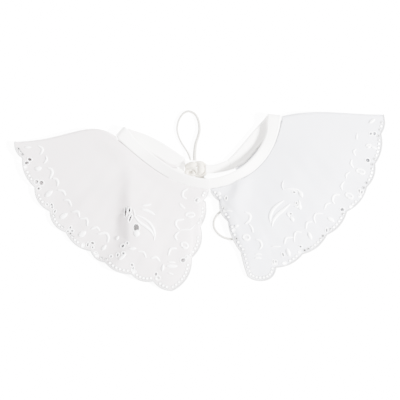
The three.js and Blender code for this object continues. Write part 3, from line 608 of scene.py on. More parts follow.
# Satin arcs of the vine: points, then the greatest half width
LEFT_ARCS = [
    ([(-161, 55.5), (-157.2, 53), (-157, 50.5), (-159.3, 46.8)], 1.0),
    ([(-153.6, 45.5), (-152.6, 42), (-155.3, 38)], 0.9),
    ([(-151.5, 33.5), (-148, 31.8), (-147.2, 28.5), (-149.8, 22.5)], 1.1),
    ([(-146.8, 22.9), (-143.2, 22.2), (-141.5, 18.8), (-142.3, 15.3)], 1.1),
    ([(-141.8, 11.3), (-136.6, 10.3), (-134, 6)], 1.1),
    ([(-135.6, 1.3), (-130.8, 0.8), (-128.3, -4.6)], 1.0),
    ([(-127.8, -10.3), (-121.8, -10.2), (-120.2, -15.5)], 1.1),
    ([(-119.8, -17.1), (-112.9, -17.4), (-112.2, -24.6)], 0.9),
    ([(-108.6, -27.6), (-103.2, -25.8), (-99.8, -29.2)], 1.0),
    ([(-101.8, -32.4), (-93.5, -31.8), (-91.2, -35.5), (-92, -41)], 1.1),
    ([(-61.8, -49.6), (-56, -50.6), (-53.6, -56)], 0.8),
    ([(-48.6, -56.6), (-43.8, -55.6), (-39.8, -59.8)], 1.1),
    ([(-23.3, -46.8), (-29, -47.3), (-31.4, -54)], 1.0),
    ([(-16, -17.8), (-23.2, -19.3), (-23.6, -23.8), (-20.3, -28.2)], 1.0),
    ([(-20.6, -28.4), (-14, -28), (-9.8, -27.8), (-5.3, -23.8)], 0.6),
    ([(-20.8, -30), (-24.6, -34.6), (-22.6, -38.8)], 1.0),
    ([(-12.3, 12.6), (-16.6, 9.6), (-17, 5), (-13, 2.6)], 1.0),
    ([(-20.2, -1.8), (-17.6, -5), (-14.9, -6.8)], 1.0),
]
RIGHT_ARCS = [
    ([(155.8, 52.4), (153.4, 49.6), (155.4, 45.8)], 0.9),
    ([(156.8, 67.8), (156.4, 61.5)], 0.7),
    ([(151.6, 42), (150.8, 37.5), (153.4, 33.6)], 1.0),
    ([(149.4, 29.6), (146, 26.6), (146.2, 23)], 0.8),
    ([(144, 19.8), (141.2, 15.6), (142.4, 11.2)], 1.0),
    ([(139.6, 6.7), (134.4, 6.3), (132.4, 1.6), (134.4, -2.4)], 1.1),
    ([(130.4, -1.8), (126.6, -2.6), (124.3, -7.6)], 0.9),
    ([(122.4, -12), (115.6, -12.4), (113.9, -16.6), (115.6, -22)], 0.9),
    ([(111.8, -20.2), (107.2, -21), (105.8, -27.6)], 1.0),
    ([(101.4, -30.8), (96, -30.6), (94.2, -35), (94.4, -40.4)], 0.9),
    ([(92.4, -35.8), (86.4, -36.4), (84.3, -42.4)], 1.0),
    ([(72, -44.9), (80.4, -45)], 0.7),
    ([(45.2, -10.6), (50, -13.4), (49.6, -18.6), (45.2, -22.4)], 1.1),
    ([(49.2, -22.6), (52, -26.4), (53, -31)], 0.9),
    ([(56, -38), (60.2, -39.6), (61.6, -44.4), (59.4, -48)], 1.0),
    ([(55.4, -52.8), (59, -52.5), (61.6, -53.2)], 0.8),
    ([(55, -56.7), (58.4, -56.3), (61.4, -56.8)], 0.8),
    ([(23.4, -9.8), (27.5, -9.3), (32.4, -9.7)], 0.6),
]

# Leaves: x, y, half length, half width, heading, and 1 where the middle is left open
LEFT_LEAVES = [
    (-171.6, 54, 3.2, 1.1, 0, 0), (-161.3, 32.8, 3.4, 2.3, 10, 0), (-150.8, 7.6, 4.6, 2.2, 40, 0),
    (-136, -14.4, 4.6, 2.2, 35, 0), (-117.4, -32.6, 4.4, 2.5, 35, 0), (-95.6, -46, 3.4, 1.6, 50, 0),
    (-82.2, -36.6, 2.2, 1.1, 60, 0), (-67.2, -47, 3.8, 1.5, 3, 0), (-77.2, -55.4, 4.6, 1.5, 40, 0),
    (-28.3, -60.6, 3.8, 1.0, 175, 0), (-28, -64.6, 5.6, 1.9, 0, 0), (-36.8, -66.2, 3.6, 1.3, 80, 0),
    (-9.6, -13.3, 5.8, 3.2, 0, 1), (-15.2, -43.6, 4.9, 3.9, 150, 1), (-62.8, -31.8, 3.3, 2.9, 80, 0),
    (-29.2, -72, 3.0, 0.8, 160, 0),
]
RIGHT_LEAVES = [
    (171.8, 80.2, 3.6, 1.5, 35, 0), (168.4, 55.6, 2.8, 2.1, 0, 1), (173.6, 53.8, 3.4, 1.3, 155, 0),
    (160.4, 30, 5.8, 3.3, 160, 1), (149.2, 5.7, 5.2, 3.3, 150, 1), (130.8, -18, 4.2, 1.9, 145, 0),
    (110, -34.4, 4.2, 1.7, 115, 0), (88.4, -51, 4.2, 1.9, 110, 0), (46.4, -35.8, 4.5, 3.9, 165, 1),
    (36.6, -24.6, 2.2, 1.5, 20, 0), (19, 7.8, 2.0, 1.9, 0, 0), (101, 7.2, 3.6, 2.0, 110, 0),
    (99.6, -4.8, 3.6, 1.8, 100, 0), (92.2, -17.6, 3.0, 1.7, 115, 0),
]

# Stems and blades of the spray in the middle of each wing: points, then the greatest half width
LEFT_SPRAY = [
    ([(-62.6, -13.6), (-54, -18), (-47.6, -24.6), (-45, -31.6), (-45.4, -38.8)], 1.2),
    ([(-65.2, -14), (-60.6, -20), (-53.6, -25.2), (-47.8, -30.4), (-46, -34.6)], 1.4),
    ([(-58, -7.6), (-51, -9.8), (-45, -13.2)], 1.4),
    ([(-57.4, -3.8), (-52.6, -3.6), (-48.4, -2.8)], 1.1),
    ([(-66, -7.4), (-65, -11.4), (-64.4, -15)], 0.5),
]
RIGHT_SPRAY = [
    ([(83.8, 1), (78, -3), (73, -8), (70.2, -15), (70.8, -21.4)], 1.6),
    ([(90, -2.4), (83.4, -8.4), (77, -13.8), (73.2, -19.6), (72, -25)], 1.7),
    ([(83.4, 20.6), (82.2, 16), (83.4, 11.4)], 0.7),
    ([(83.6, 12.4), (91, 12.6), (98, 11.2), (100.8, 6.6)], 0.9),
    ([(98.9, 1.4), (99.6, -2.6), (97.2, -5.4), (94, -4.8)], 1.1),
    ([(87.8, -10.4), (88, -13.6), (90.4, -16.2)], 0.8),
]
EYELETS = {"left": LEFT_EYELETS, "right": RIGHT_EYELETS}
ARCS = {"left": LEFT_ARCS, "right": RIGHT_ARCS}
LEAVES = {"left": LEFT_LEAVES, "right": RIGHT_LEAVES}
SPRAYS = {"left": LEFT_SPRAY, "right": RIGHT_SPRAY}

# Holes: their sizes, how much larger a drawn eyelet is cut, and how near they may come to each other
PIN_RADIUS = 1.15
PIN_SPACING = 4.4
PIN_INSET = 3.3
PINS_APART = 2.3
PIN_TO_EYELET = 1.6
EYELETS_APART = 0.35
EYELET_TO_EDGE = 0.8
# Eyelets at each notch of the back half's rim: across and into the cloth from it, and their half sizes
CLUSTER = ((-2.4, 4.6), (2.4, 4.6), (0, 8.4))
CLUSTER_EYELET = (1.5, 1.4)
EYELET_GROWTH = 1.18
EYELET_MARGIN = 0.14

# Thread: round the holes, along the rim, and in satin strokes on the cloth
EYELET_THREAD = 0.55
PIN_THREAD = 0.4
THREAD_RISE = 0.6
EDGE_STITCH = 1.5
EDGE_HALF = (0.85, 0.55)
EDGE_BEAT = 0.15
ARC_WIDENING = 1.3
LEAF_WIDENING = 1.15
ARC_RISE = 0.85
LEAF_RISE = 1.2
SPRAY_RISE = 1.1
SATIN_STEP = 0.9
SATIN_TIP = 0.3
SATIN_REST = 0.1
SATIN_UNDER = 0.4


def rim_places(side, half, spacing):
    """Level points evenly spaced along the rim, with the directions into the cloth"""
    at = rib_steps(side, half, 24)
    rim = level_points(side, half, at, 1.0)
    inner = level_points(side, half, at, 0.93)
    travelled = distance_along(rim)
    wanted = np.arange(spacing / 2, travelled[-1], spacing)
    place = resampled(wanted, travelled, rim)
    slope = unit(np.gradient(rim, axis=0))
    square = np.stack([-slope[:, 1], slope[:, 0]], -1)
    square = np.where(((inner - rim) * square).sum(-1, keepdims=True) < 0, -square, square)
    return rim, place, unit(resampled(wanted, travelled, square))


def pin_eyelets(side, half, taken):
    """The row of pin holes that follows the scalloped rim"""
    rim, place, inward = rim_places(side, half, PIN_SPACING)
    candidates = place + inward * PIN_INSET
    edge = outline_of(side, half)[:, :2]
    clear = (nearest_distance(candidates, edge) > PIN_INSET - 0.75) & inside_loop(candidates, edge)
    pins = []
    for x, y in candidates[clear]:
        near_pin = any(math.hypot(x - p[0], y - p[1]) < PINS_APART for p in pins)
        near_eyelet = any(math.hypot(x - h[0], y - h[1]) < h[2] + PIN_TO_EYELET for h in taken)
        if not near_pin and not near_eyelet:
            pins.append((x, y, PIN_RADIUS, PIN_RADIUS, 0))
    return pins


def kept_apart(side, half, holes):
    """Leaves out an eyelet that would break into its neighbour or the edge of the cloth"""
    edge = outline_of(side, half)[:, :2]
    centres = np.array([hole[:2] for hole in holes])
    away = nearest_distance(centres, edge)
    inside = inside_loop(centres, edge)
    kept = []
    for hole, distance, within in zip(holes, away, inside):
        clear = all(
            nearest_distance(hole_loop(hole), hole_loop(other)).min() > EYELETS_APART
            and not inside_loop(np.array([hole[:2]]), hole_loop(other))[0]
            for other in kept
            if math.hypot(hole[0] - other[0], hole[1] - other[1]) < 9
        )
        if within and distance > hole[2] + EYELET_TO_EDGE and clear:
            kept.append(hole)
    return kept


def eyelets_of(side, half):
    holes = EYELETS[side] if half == "front" else back_clusters(side)
    holes = [
        (x, y, length * EYELET_GROWTH + EYELET_MARGIN, width * EYELET_GROWTH + EYELET_MARGIN, heading)
        for x, y, length, width, heading in holes
    ]
    holes = kept_apart(side, half, holes)
    return holes, pin_eyelets(side, half, holes)


def back_clusters(side):
    """Three eyelets inside each notch of the back half's rim"""
    holes = []
    for seam, heading, *_ in RIBS[side, "back"][1:-1]:
        notch = level_points(side, "back", seam, 1.0)
        inward = -towards(heading)
        aside = np.array([-inward[1], inward[0]])
        for across, deep in CLUSTER:
            x, y = notch + aside * across + inward * deep
            holes.append((x, y, *CLUSTER_EYELET, 0))
    return holes


# Finishes


def node(tree, kind, **sockets):
    made = tree.nodes.new(kind)
    for name, value in sockets.items():
        made.inputs[name.replace("_", " ")].default_value = value
    return made


def thread_group(name, threads):
    """A new node group that takes Threads and gives Height and Tone, with its own ends and UV place"""
    tree = bpy.data.node_groups.new(name, "ShaderNodeTree")
    pitch = tree.interface.new_socket("Threads", in_out="INPUT", socket_type="NodeSocketFloat")
    pitch.default_value = threads
    for output in ("Height", "Tone"):
        tree.interface.new_socket(output, in_out="OUTPUT", socket_type="NodeSocketFloat")
    given, out = tree.nodes.new("NodeGroupInput"), tree.nodes.new("NodeGroupOutput")
    return tree, given, out, tree.nodes.new("ShaderNodeTexCoord")


def thread_wave(tree, given, place, direction, distortion, detail):
    wave = node(tree, "ShaderNodeTexWave", Distortion=distortion, Detail=detail)
    wave.bands_direction = direction
    tree.links.new(place.outputs["UV"], wave.inputs["Vector"])
    tree.links.new(given.outputs["Threads"], wave.inputs["Scale"])
    return wave


def weave_group():
    """Plain weave that follows the UV map: Height for bump and Tone, here a faint random change of colour"""
    if "Plain Weave" in bpy.data.node_groups:
        return bpy.data.node_groups["Plain Weave"]
    tree, given, out, place = thread_group("Plain Weave", 2200)
    height = tree.nodes.new("ShaderNodeMath")
    height.operation = "ADD"
    for i, direction in enumerate(("X", "Y")):
        wave = thread_wave(tree, given, place, direction, 0.6, 1.0)
        tree.links.new(wave.outputs["Fac"], height.inputs[i])
    slub = node(tree, "ShaderNodeTexNoise", Scale=90.0, Detail=4.0, Roughness=0.6)
    tree.links.new(place.outputs["UV"], slub.inputs["Vector"])
    tree.links.new(height.outputs[0], out.inputs["Height"])
    tree.links.new(slub.outputs["Fac"], out.inputs["Tone"])
    return tree


def stitch_group():
    """Threads laid side by side across a raised shape: Height, and Tone that follows it as painted shade in
    the grooves between threads
    """
    if "Laid Threads" in bpy.data.node_groups:
        return bpy.data.node_groups["Laid Threads"]
    tree, given, out, place = thread_group("Laid Threads", 500)
    wave = thread_wave(tree, given, place, "X", 1.2, 2.0)
    tree.links.new(wave.outputs["Fac"], out.inputs["Height"])
    # Painted shade: the colour darkens where the laid threads dip between each other
    tree.links.new(wave.outputs["Fac"], out.inputs["Tone"])
    return tree


# colour, pattern, threads, depth of the relief, shade between threads (painted shade in the grooves on the
# stitch finishes, a random slub tone on the weaves), roughness, sheen, specular
FINISHES = {
    # The two lawns are one cloth; their warm and cool tints are painted light, the colour of the light on
    # each wing
    "lawn_left": ("lawn_left", weave_group, 900, 0.00006, 0.975, 0.9, 0.03, 0.25),
    "lawn_right": ("lawn_right", weave_group, 900, 0.00006, 0.975, 0.9, 0.03, 0.25),
    "band_weave": ("band", weave_group, 700, 0.00008, 0.98, 0.85, 0.1, 0.25),
    # The cord's grey is painted shade on white cord
    "cord_twist": ("cord", stitch_group, 500, 0.0001, 0.85, 0.75, 0.2, 0.25),
    "knot_tape": ("knot", stitch_group, 300, 0.0002, 0.8, 0.75, 0.2, 0.25),
    # The edge thread's dark grey is painted shade along the rim and round the pin holes
    "edge_thread": ("edge", stitch_group, 420, 0.00015, 0.9, 0.6, 0.2, 0.25),
    "white_thread": ("thread", stitch_group, 420, 0.0001, 0.97, 0.34, 0.25, 0.8),
}


def finish_of(name):
    """Cotton whose threads show as a fine relief and a change of tone, made when it is first asked for; on
    laid thread the change of tone is painted shade in the grooves
    """
    if name in bpy.data.materials:
        return bpy.data.materials[name]
    look, group, threads, depth, shade, roughness, sheen, specular = FINISHES[name]
    color = getattr(bpy.context.scene.collar_looks, look)
    pattern_tree = group()
    material = bpy.data.materials.new(name)
    material.use_nodes = True
    tree = material.node_tree
    shader = tree.nodes["Principled BSDF"]
    shader.inputs["Roughness"].default_value = roughness
    shader.inputs["Sheen Weight"].default_value = sheen
    shader.inputs["Sheen Roughness"].default_value = 0.6
    shader.inputs["Specular IOR Level"].default_value = specular
    pattern = tree.nodes.new("ShaderNodeGroup")
    pattern.node_tree = pattern_tree
    pattern.inputs["Threads"].default_value = threads
    tone = tree.nodes.new("ShaderNodeMix")
    tone.data_type = "RGBA"
    tone.inputs["A"].default_value = (*(c * shade for c in color), 1)
    tone.inputs["B"].default_value = (*color, 1)
    tree.links.new(pattern.outputs["Tone"], tone.inputs["Factor"])
    tree.links.new(tone.outputs["Result"], shader.inputs["Base Color"])
    bump = node(tree, "ShaderNodeBump", Strength=0.5, Distance=depth)
    tree.links.new(pattern.outputs["Height"], bump.inputs["Height"])
    tree.links.new(bump.outputs["Normal"], shader.inputs["Normal"])
    return material


def color_property(name, description, default):
    return bpy.props.FloatVectorProperty(
        name=name, description=description, default=default, subtype="COLOR", size=3, min=0, max=1
    )


def length_property(name, description, default, **limits):
    return bpy.props.FloatProperty(
        name=name, description=description, default=default, unit="LENGTH", **limits
    )


class CollarLooks(bpy.types.PropertyGroup):
    # Painted light: the left lawn's warm tint and the right lawn's cool tint stand for the colour of the
    # light on each wing
    lawn_left: color_property("Left lawn", "Colour of the cloth on the left", (0.612, 0.557, 0.565))
    lawn_right: color_property("Right lawn", "Colour of the cloth on the right", (0.588, 0.59, 0.638))
    band: color_property("Band", "Colour of the bound neck band", (0.95, 0.925, 0.895))
    # Painted shade: the loops are white cord, and this grey stands for the shade along them
    cord: color_property("Cord", "Colour of the loops of cord", (0.44, 0.42, 0.37))
    thread: color_property("Thread", "Colour of the embroidery", (0.96, 0.955, 0.96))
    knot: color_property("Knot", "Colour of the knot and the ends of its tape", (0.64, 0.59, 0.49))
    # Painted shade: the scalloped edge and the pin rings are white thread, and this dark grey stands for the
    # shade along the rim and round the pin holes
    edge: color_property("Edge", "Colour of the thread along the scalloped edge", (0.44, 0.435, 0.435))
    floor: color_property("Floor", "Colour of the surface under the collar", (0.97, 0.97, 0.97))


class CollarSizes(bpy.types.PropertyGroup):
    lawn_thickness: length_property("Lawn", "Thickness of the cloth", 0.4 * MM, min=0.1 * MM, max=MM)
    cell: length_property("Cloth cell", "Spacing of the points of the cloth", 1.4 * MM)
    cord_diameter: length_property("Loop cord", "Diameter of the cord of the loops", 2.4 * MM)
    camera_height: length_property("Camera height", "Height of the camera over the collar", 2.4)


# Strength of the floor's glow on the collar, and as the camera sees it
FLOOR_GLOW = 2.0
FLOOR_SEEN = 10.0

# The fine part of the floor and how far its border runs out from it, in metres and in times its size
FLOOR_CELL = 0.001
FLOOR_HALF = (0.21, 0.105)
FLOOR_BORDER = (20, 40)
# From where to where behind the rim the floor's glow fades out into painted shade under the wings, past the
# pin holes
SHADE_BEGINS = PIN_INSET + 1.2
SHADE_FULL = PIN_INSET + 2.0

# Width of the picture and point that the camera looks down on
PICTURE_WIDTH = 0.4
SENSOR_WIDTH = 36
CAMERA_OVER = (0.0002, 0.00145)
# name, place, side of the square, watts
LAMPS = (
    ("soft_key", (1.75, -0.35, 1.0), 0.4, 580),
    ("soft_fill", (-1.1, 0.9, 1.4), 1.2, 160),
)
SURROUNDINGS = 0.7


def floor_painted_light(points):
    """Painted light on the floor: 1 where the floor is open or shows through the pin holes, down to 0,
    painted shade, where the wings cover it
    """
    openness = np.ones(len(points))
    for side in SIDES:
        covered = inside_loop(points, outline_of(side, "front")[:, :2])
        depth = nearest_distance(points[covered], rim_places(side, "front", PIN_SPACING)[0])
        openness[covered] = np.minimum(openness[covered], 1 - smooth(depth, SHADE_BEGINS, SHADE_FULL))
    return openness


def floor_mesh():
    """A fine sheet under the collar whose border runs far out"""
    bm = bmesh.new()
    columns, rows = (round(2 * half / FLOOR_CELL) for half in FLOOR_HALF)
    bmesh.ops.create_grid(bm, x_segments=columns, y_segments=rows, size=1.0)
    bmesh.ops.scale(bm, vec=(*FLOOR_HALF, 1), verts=bm.verts)
    border = [edge for edge in bm.edges if edge.is_boundary]
    outer = bmesh.ops.extrude_edge_only(bm, edges=border)["geom"]
    outer = [part for part in outer if isinstance(part, bmesh.types.BMVert)]
    bmesh.ops.scale(bm, vec=(*FLOOR_BORDER, 1), verts=outer)
    mesh = bpy.data.meshes.new("floor")
    bm.to_mesh(mesh)
    bm.free()
    points = np.array([vert.co[:2] for vert in mesh.vertices]) / MM
    # The floor's painted light and shade are kept as a point attribute
    mesh.attributes.new("openness", "FLOAT", "POINT").data.foreach_set("value", floor_painted_light(points))
    return mesh


class COLLAR_OT_stage(bpy.types.Operator):
    """Lay the pale floor, hang the soft lights and set the camera straight above"""

    bl_idname = "collar.stage"
    bl_label = "Stage"

    def execute(self, context):
        scene = context.scene
        sizes, looks = scene.collar_sizes, scene.collar_looks
        lens = bpy.data.cameras.new("overhead")
        lens.sensor_width = SENSOR_WIDTH
        lens.lens = SENSOR_WIDTH * sizes.camera_height / PICTURE_WIDTH
        lens.clip_end = 20
        camera = bpy.data.objects.new("overhead", lens)
        camera.location = (*CAMERA_OVER, sizes.camera_height)
        scene.collection.objects.link(camera)
        scene.camera = camera

        floor = bpy.data.objects.new("floor", floor_mesh())
        scene.collection.objects.link(floor)
        floor.data.materials.append(self.floor_paint(looks.floor))

        for name, place, size, power in LAMPS:
            lamp = bpy.data.lights.new(name, "AREA")
            lamp.size = size
            lamp.energy = power
            holder = bpy.data.objects.new(name, lamp)
            holder.location = place
            holder.rotation_euler = (-Vector(place)).to_track_quat("-Z", "Y").to_euler()
            scene.collection.objects.link(holder)
        world = bpy.data.worlds.new("studio")
        world.use_nodes = True
        surroundings = world.node_tree.nodes["Background"]
        surroundings.inputs["Color"].default_value = (1, 1, 1, 1)
        surroundings.inputs["Strength"].default_value = SURROUNDINGS
        scene.world = world
        return {"FINISHED"}

    def floor_paint(self, color):
        """A pale floor that glows softly, with painted shade where the collar covers it"""
        paint = bpy.data.materials.new("pale_floor")
        paint.use_nodes = True
        tree = paint.node_tree
        shader = tree.nodes["Principled BSDF"]
        shader.inputs["Base Color"].default_value = (*color, 1)
        shader.inputs["Roughness"].default_value = 0.9
        shader.inputs["Emission Color"].default_value = (1, 1, 1, 1)
        # Painted shade: the glow is multiplied by the floor's painted light, which is 0 under the wings
        openness = tree.nodes.new("ShaderNodeAttribute")
        openness.attribute_name = "openness"
        path = tree.nodes.new("ShaderNodeLightPath")
        glow = node(tree, "ShaderNodeMix", A=FLOOR_GLOW, B=FLOOR_SEEN)
        strength = tree.nodes.new("ShaderNodeMath")
        strength.operation = "MULTIPLY"
        tree.links.new(path.outputs["Is Camera Ray"], glow.inputs["Factor"])
        tree.links.new(openness.outputs["Fac"], strength.inputs[0])
        tree.links.new(glow.outputs["Result"], strength.inputs[1])
        tree.links.new(strength.outputs[0], shader.inputs["Emission Strength"])
        return paint


def corded_tube(bm, path, diameter, fullness, sides=15):
    """A tube whose surface turns in three plies"""
    path = np.asarray(path, float)
    hint = np.tile([0.0, 0.0, 1.0], (len(path), 1))
    _, side, normal = closed_path_frames(path, hint)
    travelled = distance_along(path)
    turn = np.linspace(0, 2 * np.pi, sides + 1)[None, :]
    plies = 0.5 + 0.5 * np.cos(3 * (turn - travelled[:, None] * 2 * np.pi / PLY_LENGTH))
    share = travelled / travelled[-1]
    full = np.interp(share, np.linspace(0, 1, len(fullness)), fullness)
    radius = diameter / 2 * (0.9 + 0.1 * plies) * full[:, None]
    ends = smooth(np.minimum(travelled, travelled[-1] - travelled), -0.3, 0.5)
    radius = radius * ends[:, None]
    radius[[0, -1]] = 0.0
    rings = side[:, None] * np.cos(turn)[..., None] + normal[:, None] * np.sin(turn)[..., None]
    shaped_grid(bm, path[:, None] + rings * radius[..., None])


# Route of each loop, and its fullness in even steps from its first end to its last
LOOPS = {
    "tie_loop_upper": (UPPER_LOOP_ROUTE, (0.85, 0.85, 1.0, 1.3, 1.7)),
    "tie_loop_lower": (LOWER_LOOP_ROUTE, (1.1, 1.1)),
}


class COLLAR_OT_loops(bpy.types.Operator):
    """Lay the two thin loops of cord that leave the knot"""

    bl_idname = "collar.loops"
    bl_label = "Loops"

    def execute(self, context):
        diameter = context.scene.collar_sizes.cord_diameter
        for name, (route, fullness) in LOOPS.items():
            path = smooth_path(np.array(route) / MM, 0.55)
            bm = bmesh.new()
            corded_tube(bm, path, diameter / MM, fullness)
            cord = finished(bm, name + "_cord", finish_of("cord_twist"))
            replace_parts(cord, name)
        return {"FINISHED"}


def make_wing(side, cell, thickness):
    """The lawn of a wing: front half, roll over the shoulder and back half, in one sheet"""
    bm = bmesh.new()
    for half in ("front", "back"):
        holes, pins = eyelets_of(side, half)
        pierced_half(bm, side, half, holes + pins, cell)
    rows = np.linspace(0, 1, FOLD_ROWS + 1)
    turns = np.linspace(0, np.pi, ROLL_STEPS + 1)
    roll = roll_places(side, rows[None, :], turns[:, None])
    shaped_grid(bm, roll, weld=False)
    bmesh.ops.remove_doubles(bm, verts=bm.verts, dist=0.02)
    bmesh.ops.recalc_face_normals(bm, faces=bm.faces)
    uv = bm.loops.layers.uv.verify()
    for face in bm.faces:
        for loop in face.loops:
            loop[uv].uv = (loop.vert.co.x * MM, loop.vert.co.y * MM)
    front = surface(side, "front")[0]
    mark = Vector(front[len(front) // 2, front.shape[1] // 2])
    top = min(bm.faces, key=lambda face: (face.calc_center_median() - mark).length)
    if top.normal.z < 0:
        bmesh.ops.reverse_faces(bm, faces=bm.faces)
    sum(face.calc_area() for face in bm.faces) * MM * MM
    piece = finished(bm, f"wing_{side}_lawn", finish_of(f"lawn_{side}"))
    wall = piece.modifiers.new("thickness", "SOLIDIFY")
    wall.thickness = thickness
    wall.offset = 0
    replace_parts(piece, f"wing_{side}")


class COLLAR_OT_wings(bpy.types.Operator):
    """Cut and fold the two wings of pierced lawn"""

    bl_idname = "collar.wings"
    bl_label = "Wings"

    def execute(self, context):
        sizes = context.scene.collar_sizes
        for side in SIDES:
            make_wing(side, sizes.cell / MM, sizes.lawn_thickness)
        return {"FINISHED"}


def ring_meshes(bm, side, half, holes, thick):
    """Overcast thread round each eyelet"""
    turn = np.linspace(0, 2 * np.pi, HOLE_SIDES + 1)
    across = np.linspace(0, 2 * np.pi, 7)
    section = np.stack([np.cos(across), np.sin(across)], -1)
    away = 0.7 * thick
    heights, normals = on_cloth(side, half, [hole[:2] for hole in holes])
    for hole, height, normal in zip(holes, heights, normals):
        x, y, length, width, heading = hole
        up = np.array(normal)
        main = np.array([*towards(heading), 0.0])
        main = unit(main - up * main.dot(up))
        aside = np.cross(up, main)
        cos, sin = np.cos(turn)[:, None], np.sin(turn)[:, None]
        outward = cos * main + sin * aside
        edge = cos * main * (length + away) + sin * aside * (width + away)
        centre = np.array([x, y, height])
        places = (
            centre + edge[:, None] + outward[:, None] * section[None, :, :1] * thick
            + up * section[None, :, 1:] * THREAD_RISE
        )
        shaped_grid(bm, places)


def satin_places(side, points, half_width, height, taper):
    """Places of a padded stroke of satin stitch that lies on the cloth"""
    path = smooth_path(points, SATIN_STEP)
    share = np.linspace(0, 1, len(path))
    width = half_width * (1 - taper * np.abs(2 * share - 1) ** 2.2)
    slope = unit(np.gradient(path, axis=0))
    square = np.stack([-slope[:, 1], slope[:, 0]], -1)
    path = np.concatenate([path[:1] - slope[:1] * SATIN_TIP, path, path[-1:] + slope[-1:] * SATIN_TIP])
    width = np.concatenate([[0], width, [0]])
    square = np.concatenate([square[:1], square, square[-1:]])
    turn = np.linspace(0, 2 * np.pi, 9)
    level = path[:, None] + square[:, None] * np.cos(turn)[None, :, None] * width[:, None, None]
    ground, _ = on_cloth(side, "front", level.reshape(-1, 2))
    ground = ground.reshape(level.shape[:2])
    swell = height * np.sin(turn)[None, :] * np.minimum(1, width / half_width + 0.25)[:, None]
    raised = ground + SATIN_REST + np.where(swell > 0, swell, SATIN_UNDER * swell)
    return np.concatenate([level, raised[..., None]], -1)


def leaf_points(leaf):
    """The middle line of a leaf"""
    x, y, length, _, heading = leaf[:5]
    main = towards(heading)
    return [np.array([x, y]) + main * length * share for share in (-1, -0.5, 0, 0.5, 1)]


def rim_tube(bm, side):
    """Buttonhole stitch along the whole scalloped edge, round the fold and along the back half"""
    at_front, at_back = rib_steps(side, "front", 44), rib_steps(side, "back", 60)
    turns = np.linspace(0, np.pi, ROLL_STEPS * 2 + 1)

    def edge(along):
        return np.concatenate([
            front_places(side, at_front, along)[:-1],
            roll_places(side, along, turns)[:-1],
            back_places(side, at_back, along),
        ])

    rim, inner = edge(1.0), edge(0.96)
    inward = unit(inner - rim)
    travelled = distance_along(rim)
    wanted = np.arange(0, travelled[-1], 0.5)
    rim = resampled(wanted, travelled, rim)
    inward = unit(resampled(wanted, travelled, inward))
    beat = EDGE_BEAT * (0.5 + 0.5 * np.cos(wanted * 2 * np.pi / EDGE_STITCH))
    wide, high = EDGE_HALF
    places = tube_places(rim + inward * 0.55, inward, wide + beat, high + beat, sides=8)
    places[..., 2] = np.maximum(places[..., 2], 0.02)
    shaped_grid(bm, places)


class COLLAR_OT_embroidery(bpy.types.Operator):
    """Work the thread: rings round the eyelets, the vine, the sprays and the scalloped edge"""

    bl_idname = "collar.embroidery"
    bl_label = "Embroidery"

    def execute(self, context):
        for side in SIDES:
            rings, pin_rings = bmesh.new(), bmesh.new()
            for half in ("front", "back"):
                holes, pins = eyelets_of(side, half)
                ring_meshes(rings, side, half, holes, EYELET_THREAD)
                ring_meshes(pin_rings, side, half, pins, PIN_THREAD)
            worked = [
                self.keep(rings, f"eyelet_thread_{side}", side),
                # The pin rings take the edge thread, whose dark grey is painted shade round the pin holes
                self.keep(pin_rings, f"pin_thread_{side}", side, "edge_thread"),
            ]
            bm = bmesh.new()
            for points, half_width in ARCS[side]:
                self.stroke(bm, side, points, half_width * ARC_WIDENING, ARC_RISE, 0.5)
            for leaf in LEAVES[side]:
                if leaf[5]:
                    self.open_leaf(bm, side, leaf)
                else:
                    self.stroke(bm, side, leaf_points(leaf), leaf[3] * LEAF_WIDENING, LEAF_RISE, 0.8)
            for points, half_width in SPRAYS[side]:
                self.stroke(bm, side, points, half_width * LEAF_WIDENING, SPRAY_RISE, 0.7)
            worked.append(self.keep(bm, f"satin_thread_{side}", side))
            bm = bmesh.new()
            rim_tube(bm, side)
            # The edge thread's dark grey is painted shade along the rim
            worked.append(self.keep(bm, f"edge_thread_{side}", side, "edge_thread"))
        return {"FINISHED"}

    def open_leaf(self, bm, side, leaf):
        """A leaf worked as a ring, fuller along its lower side"""
        x, y, length, width, heading, _ = leaf
        turn = np.linspace(0, 2 * np.pi, 17)
        main, aside = towards(heading), towards(heading + 90)
        ring = np.array([x, y]) + np.outer(np.cos(turn) * length * 0.72, main)
        ring = ring + np.outer(np.sin(turn) * width * 0.62, aside)
        self.stroke(bm, side, ring, 1.1, 0.8, 0.0)
        lower = [ring[i] for i in range(17) if (ring[i] - (x, y))[1] < -0.25 * width]
        lower = sorted(lower, key=lambda point: point[0])
        self.stroke(bm, side, lower, 1.5, 1.3, 0.6)

    def stroke(self, bm, side, points, half_width, height, taper):
        shaped_grid(bm, satin_places(side, points, half_width, height, taper))

    def keep(self, bm, name, side, thread="white_thread"):
        return finished(bm, name, finish_of(thread))


def band_edges(side, half, at):
    """Where the seam and the free edge of the band lie"""
    at = np.asarray(at, float)
    seam = seam_points(side, half, at)
    front_tilt = FRONT_BAND_TILT * (1 - smooth(at, 0.1, 1))
    back_tilt = BACK_BAND_TILT * smooth(at, 0, 0.3)
    angle = np.radians(front_tilt if half == "front" else back_tilt)
    height = seam_height(at, BAND_THICKNESS) if half == "front" else np.full(at.shape, BAND_THICKNESS / 2)
    width = mix(BAND_WIDTH, BAND_WIDTH_AT_FOLD, near_fold("clearance", half, at))
    free = seam + lie_across_band(side, half, at) * (width * np.cos(angle))[..., None]
    if half == "back":
        tucked = BAND_TUCK * smooth(at, 0, 0.2) * (1 - smooth(at, 0.8, 1))
        seam = seam - lie_across_band(side, half, at) * tucked[..., None]
    return (
        np.concatenate([seam, height[..., None]], -1),
        np.concatenate([free, (height + width * np.sin(angle))[..., None]], -1),
    )


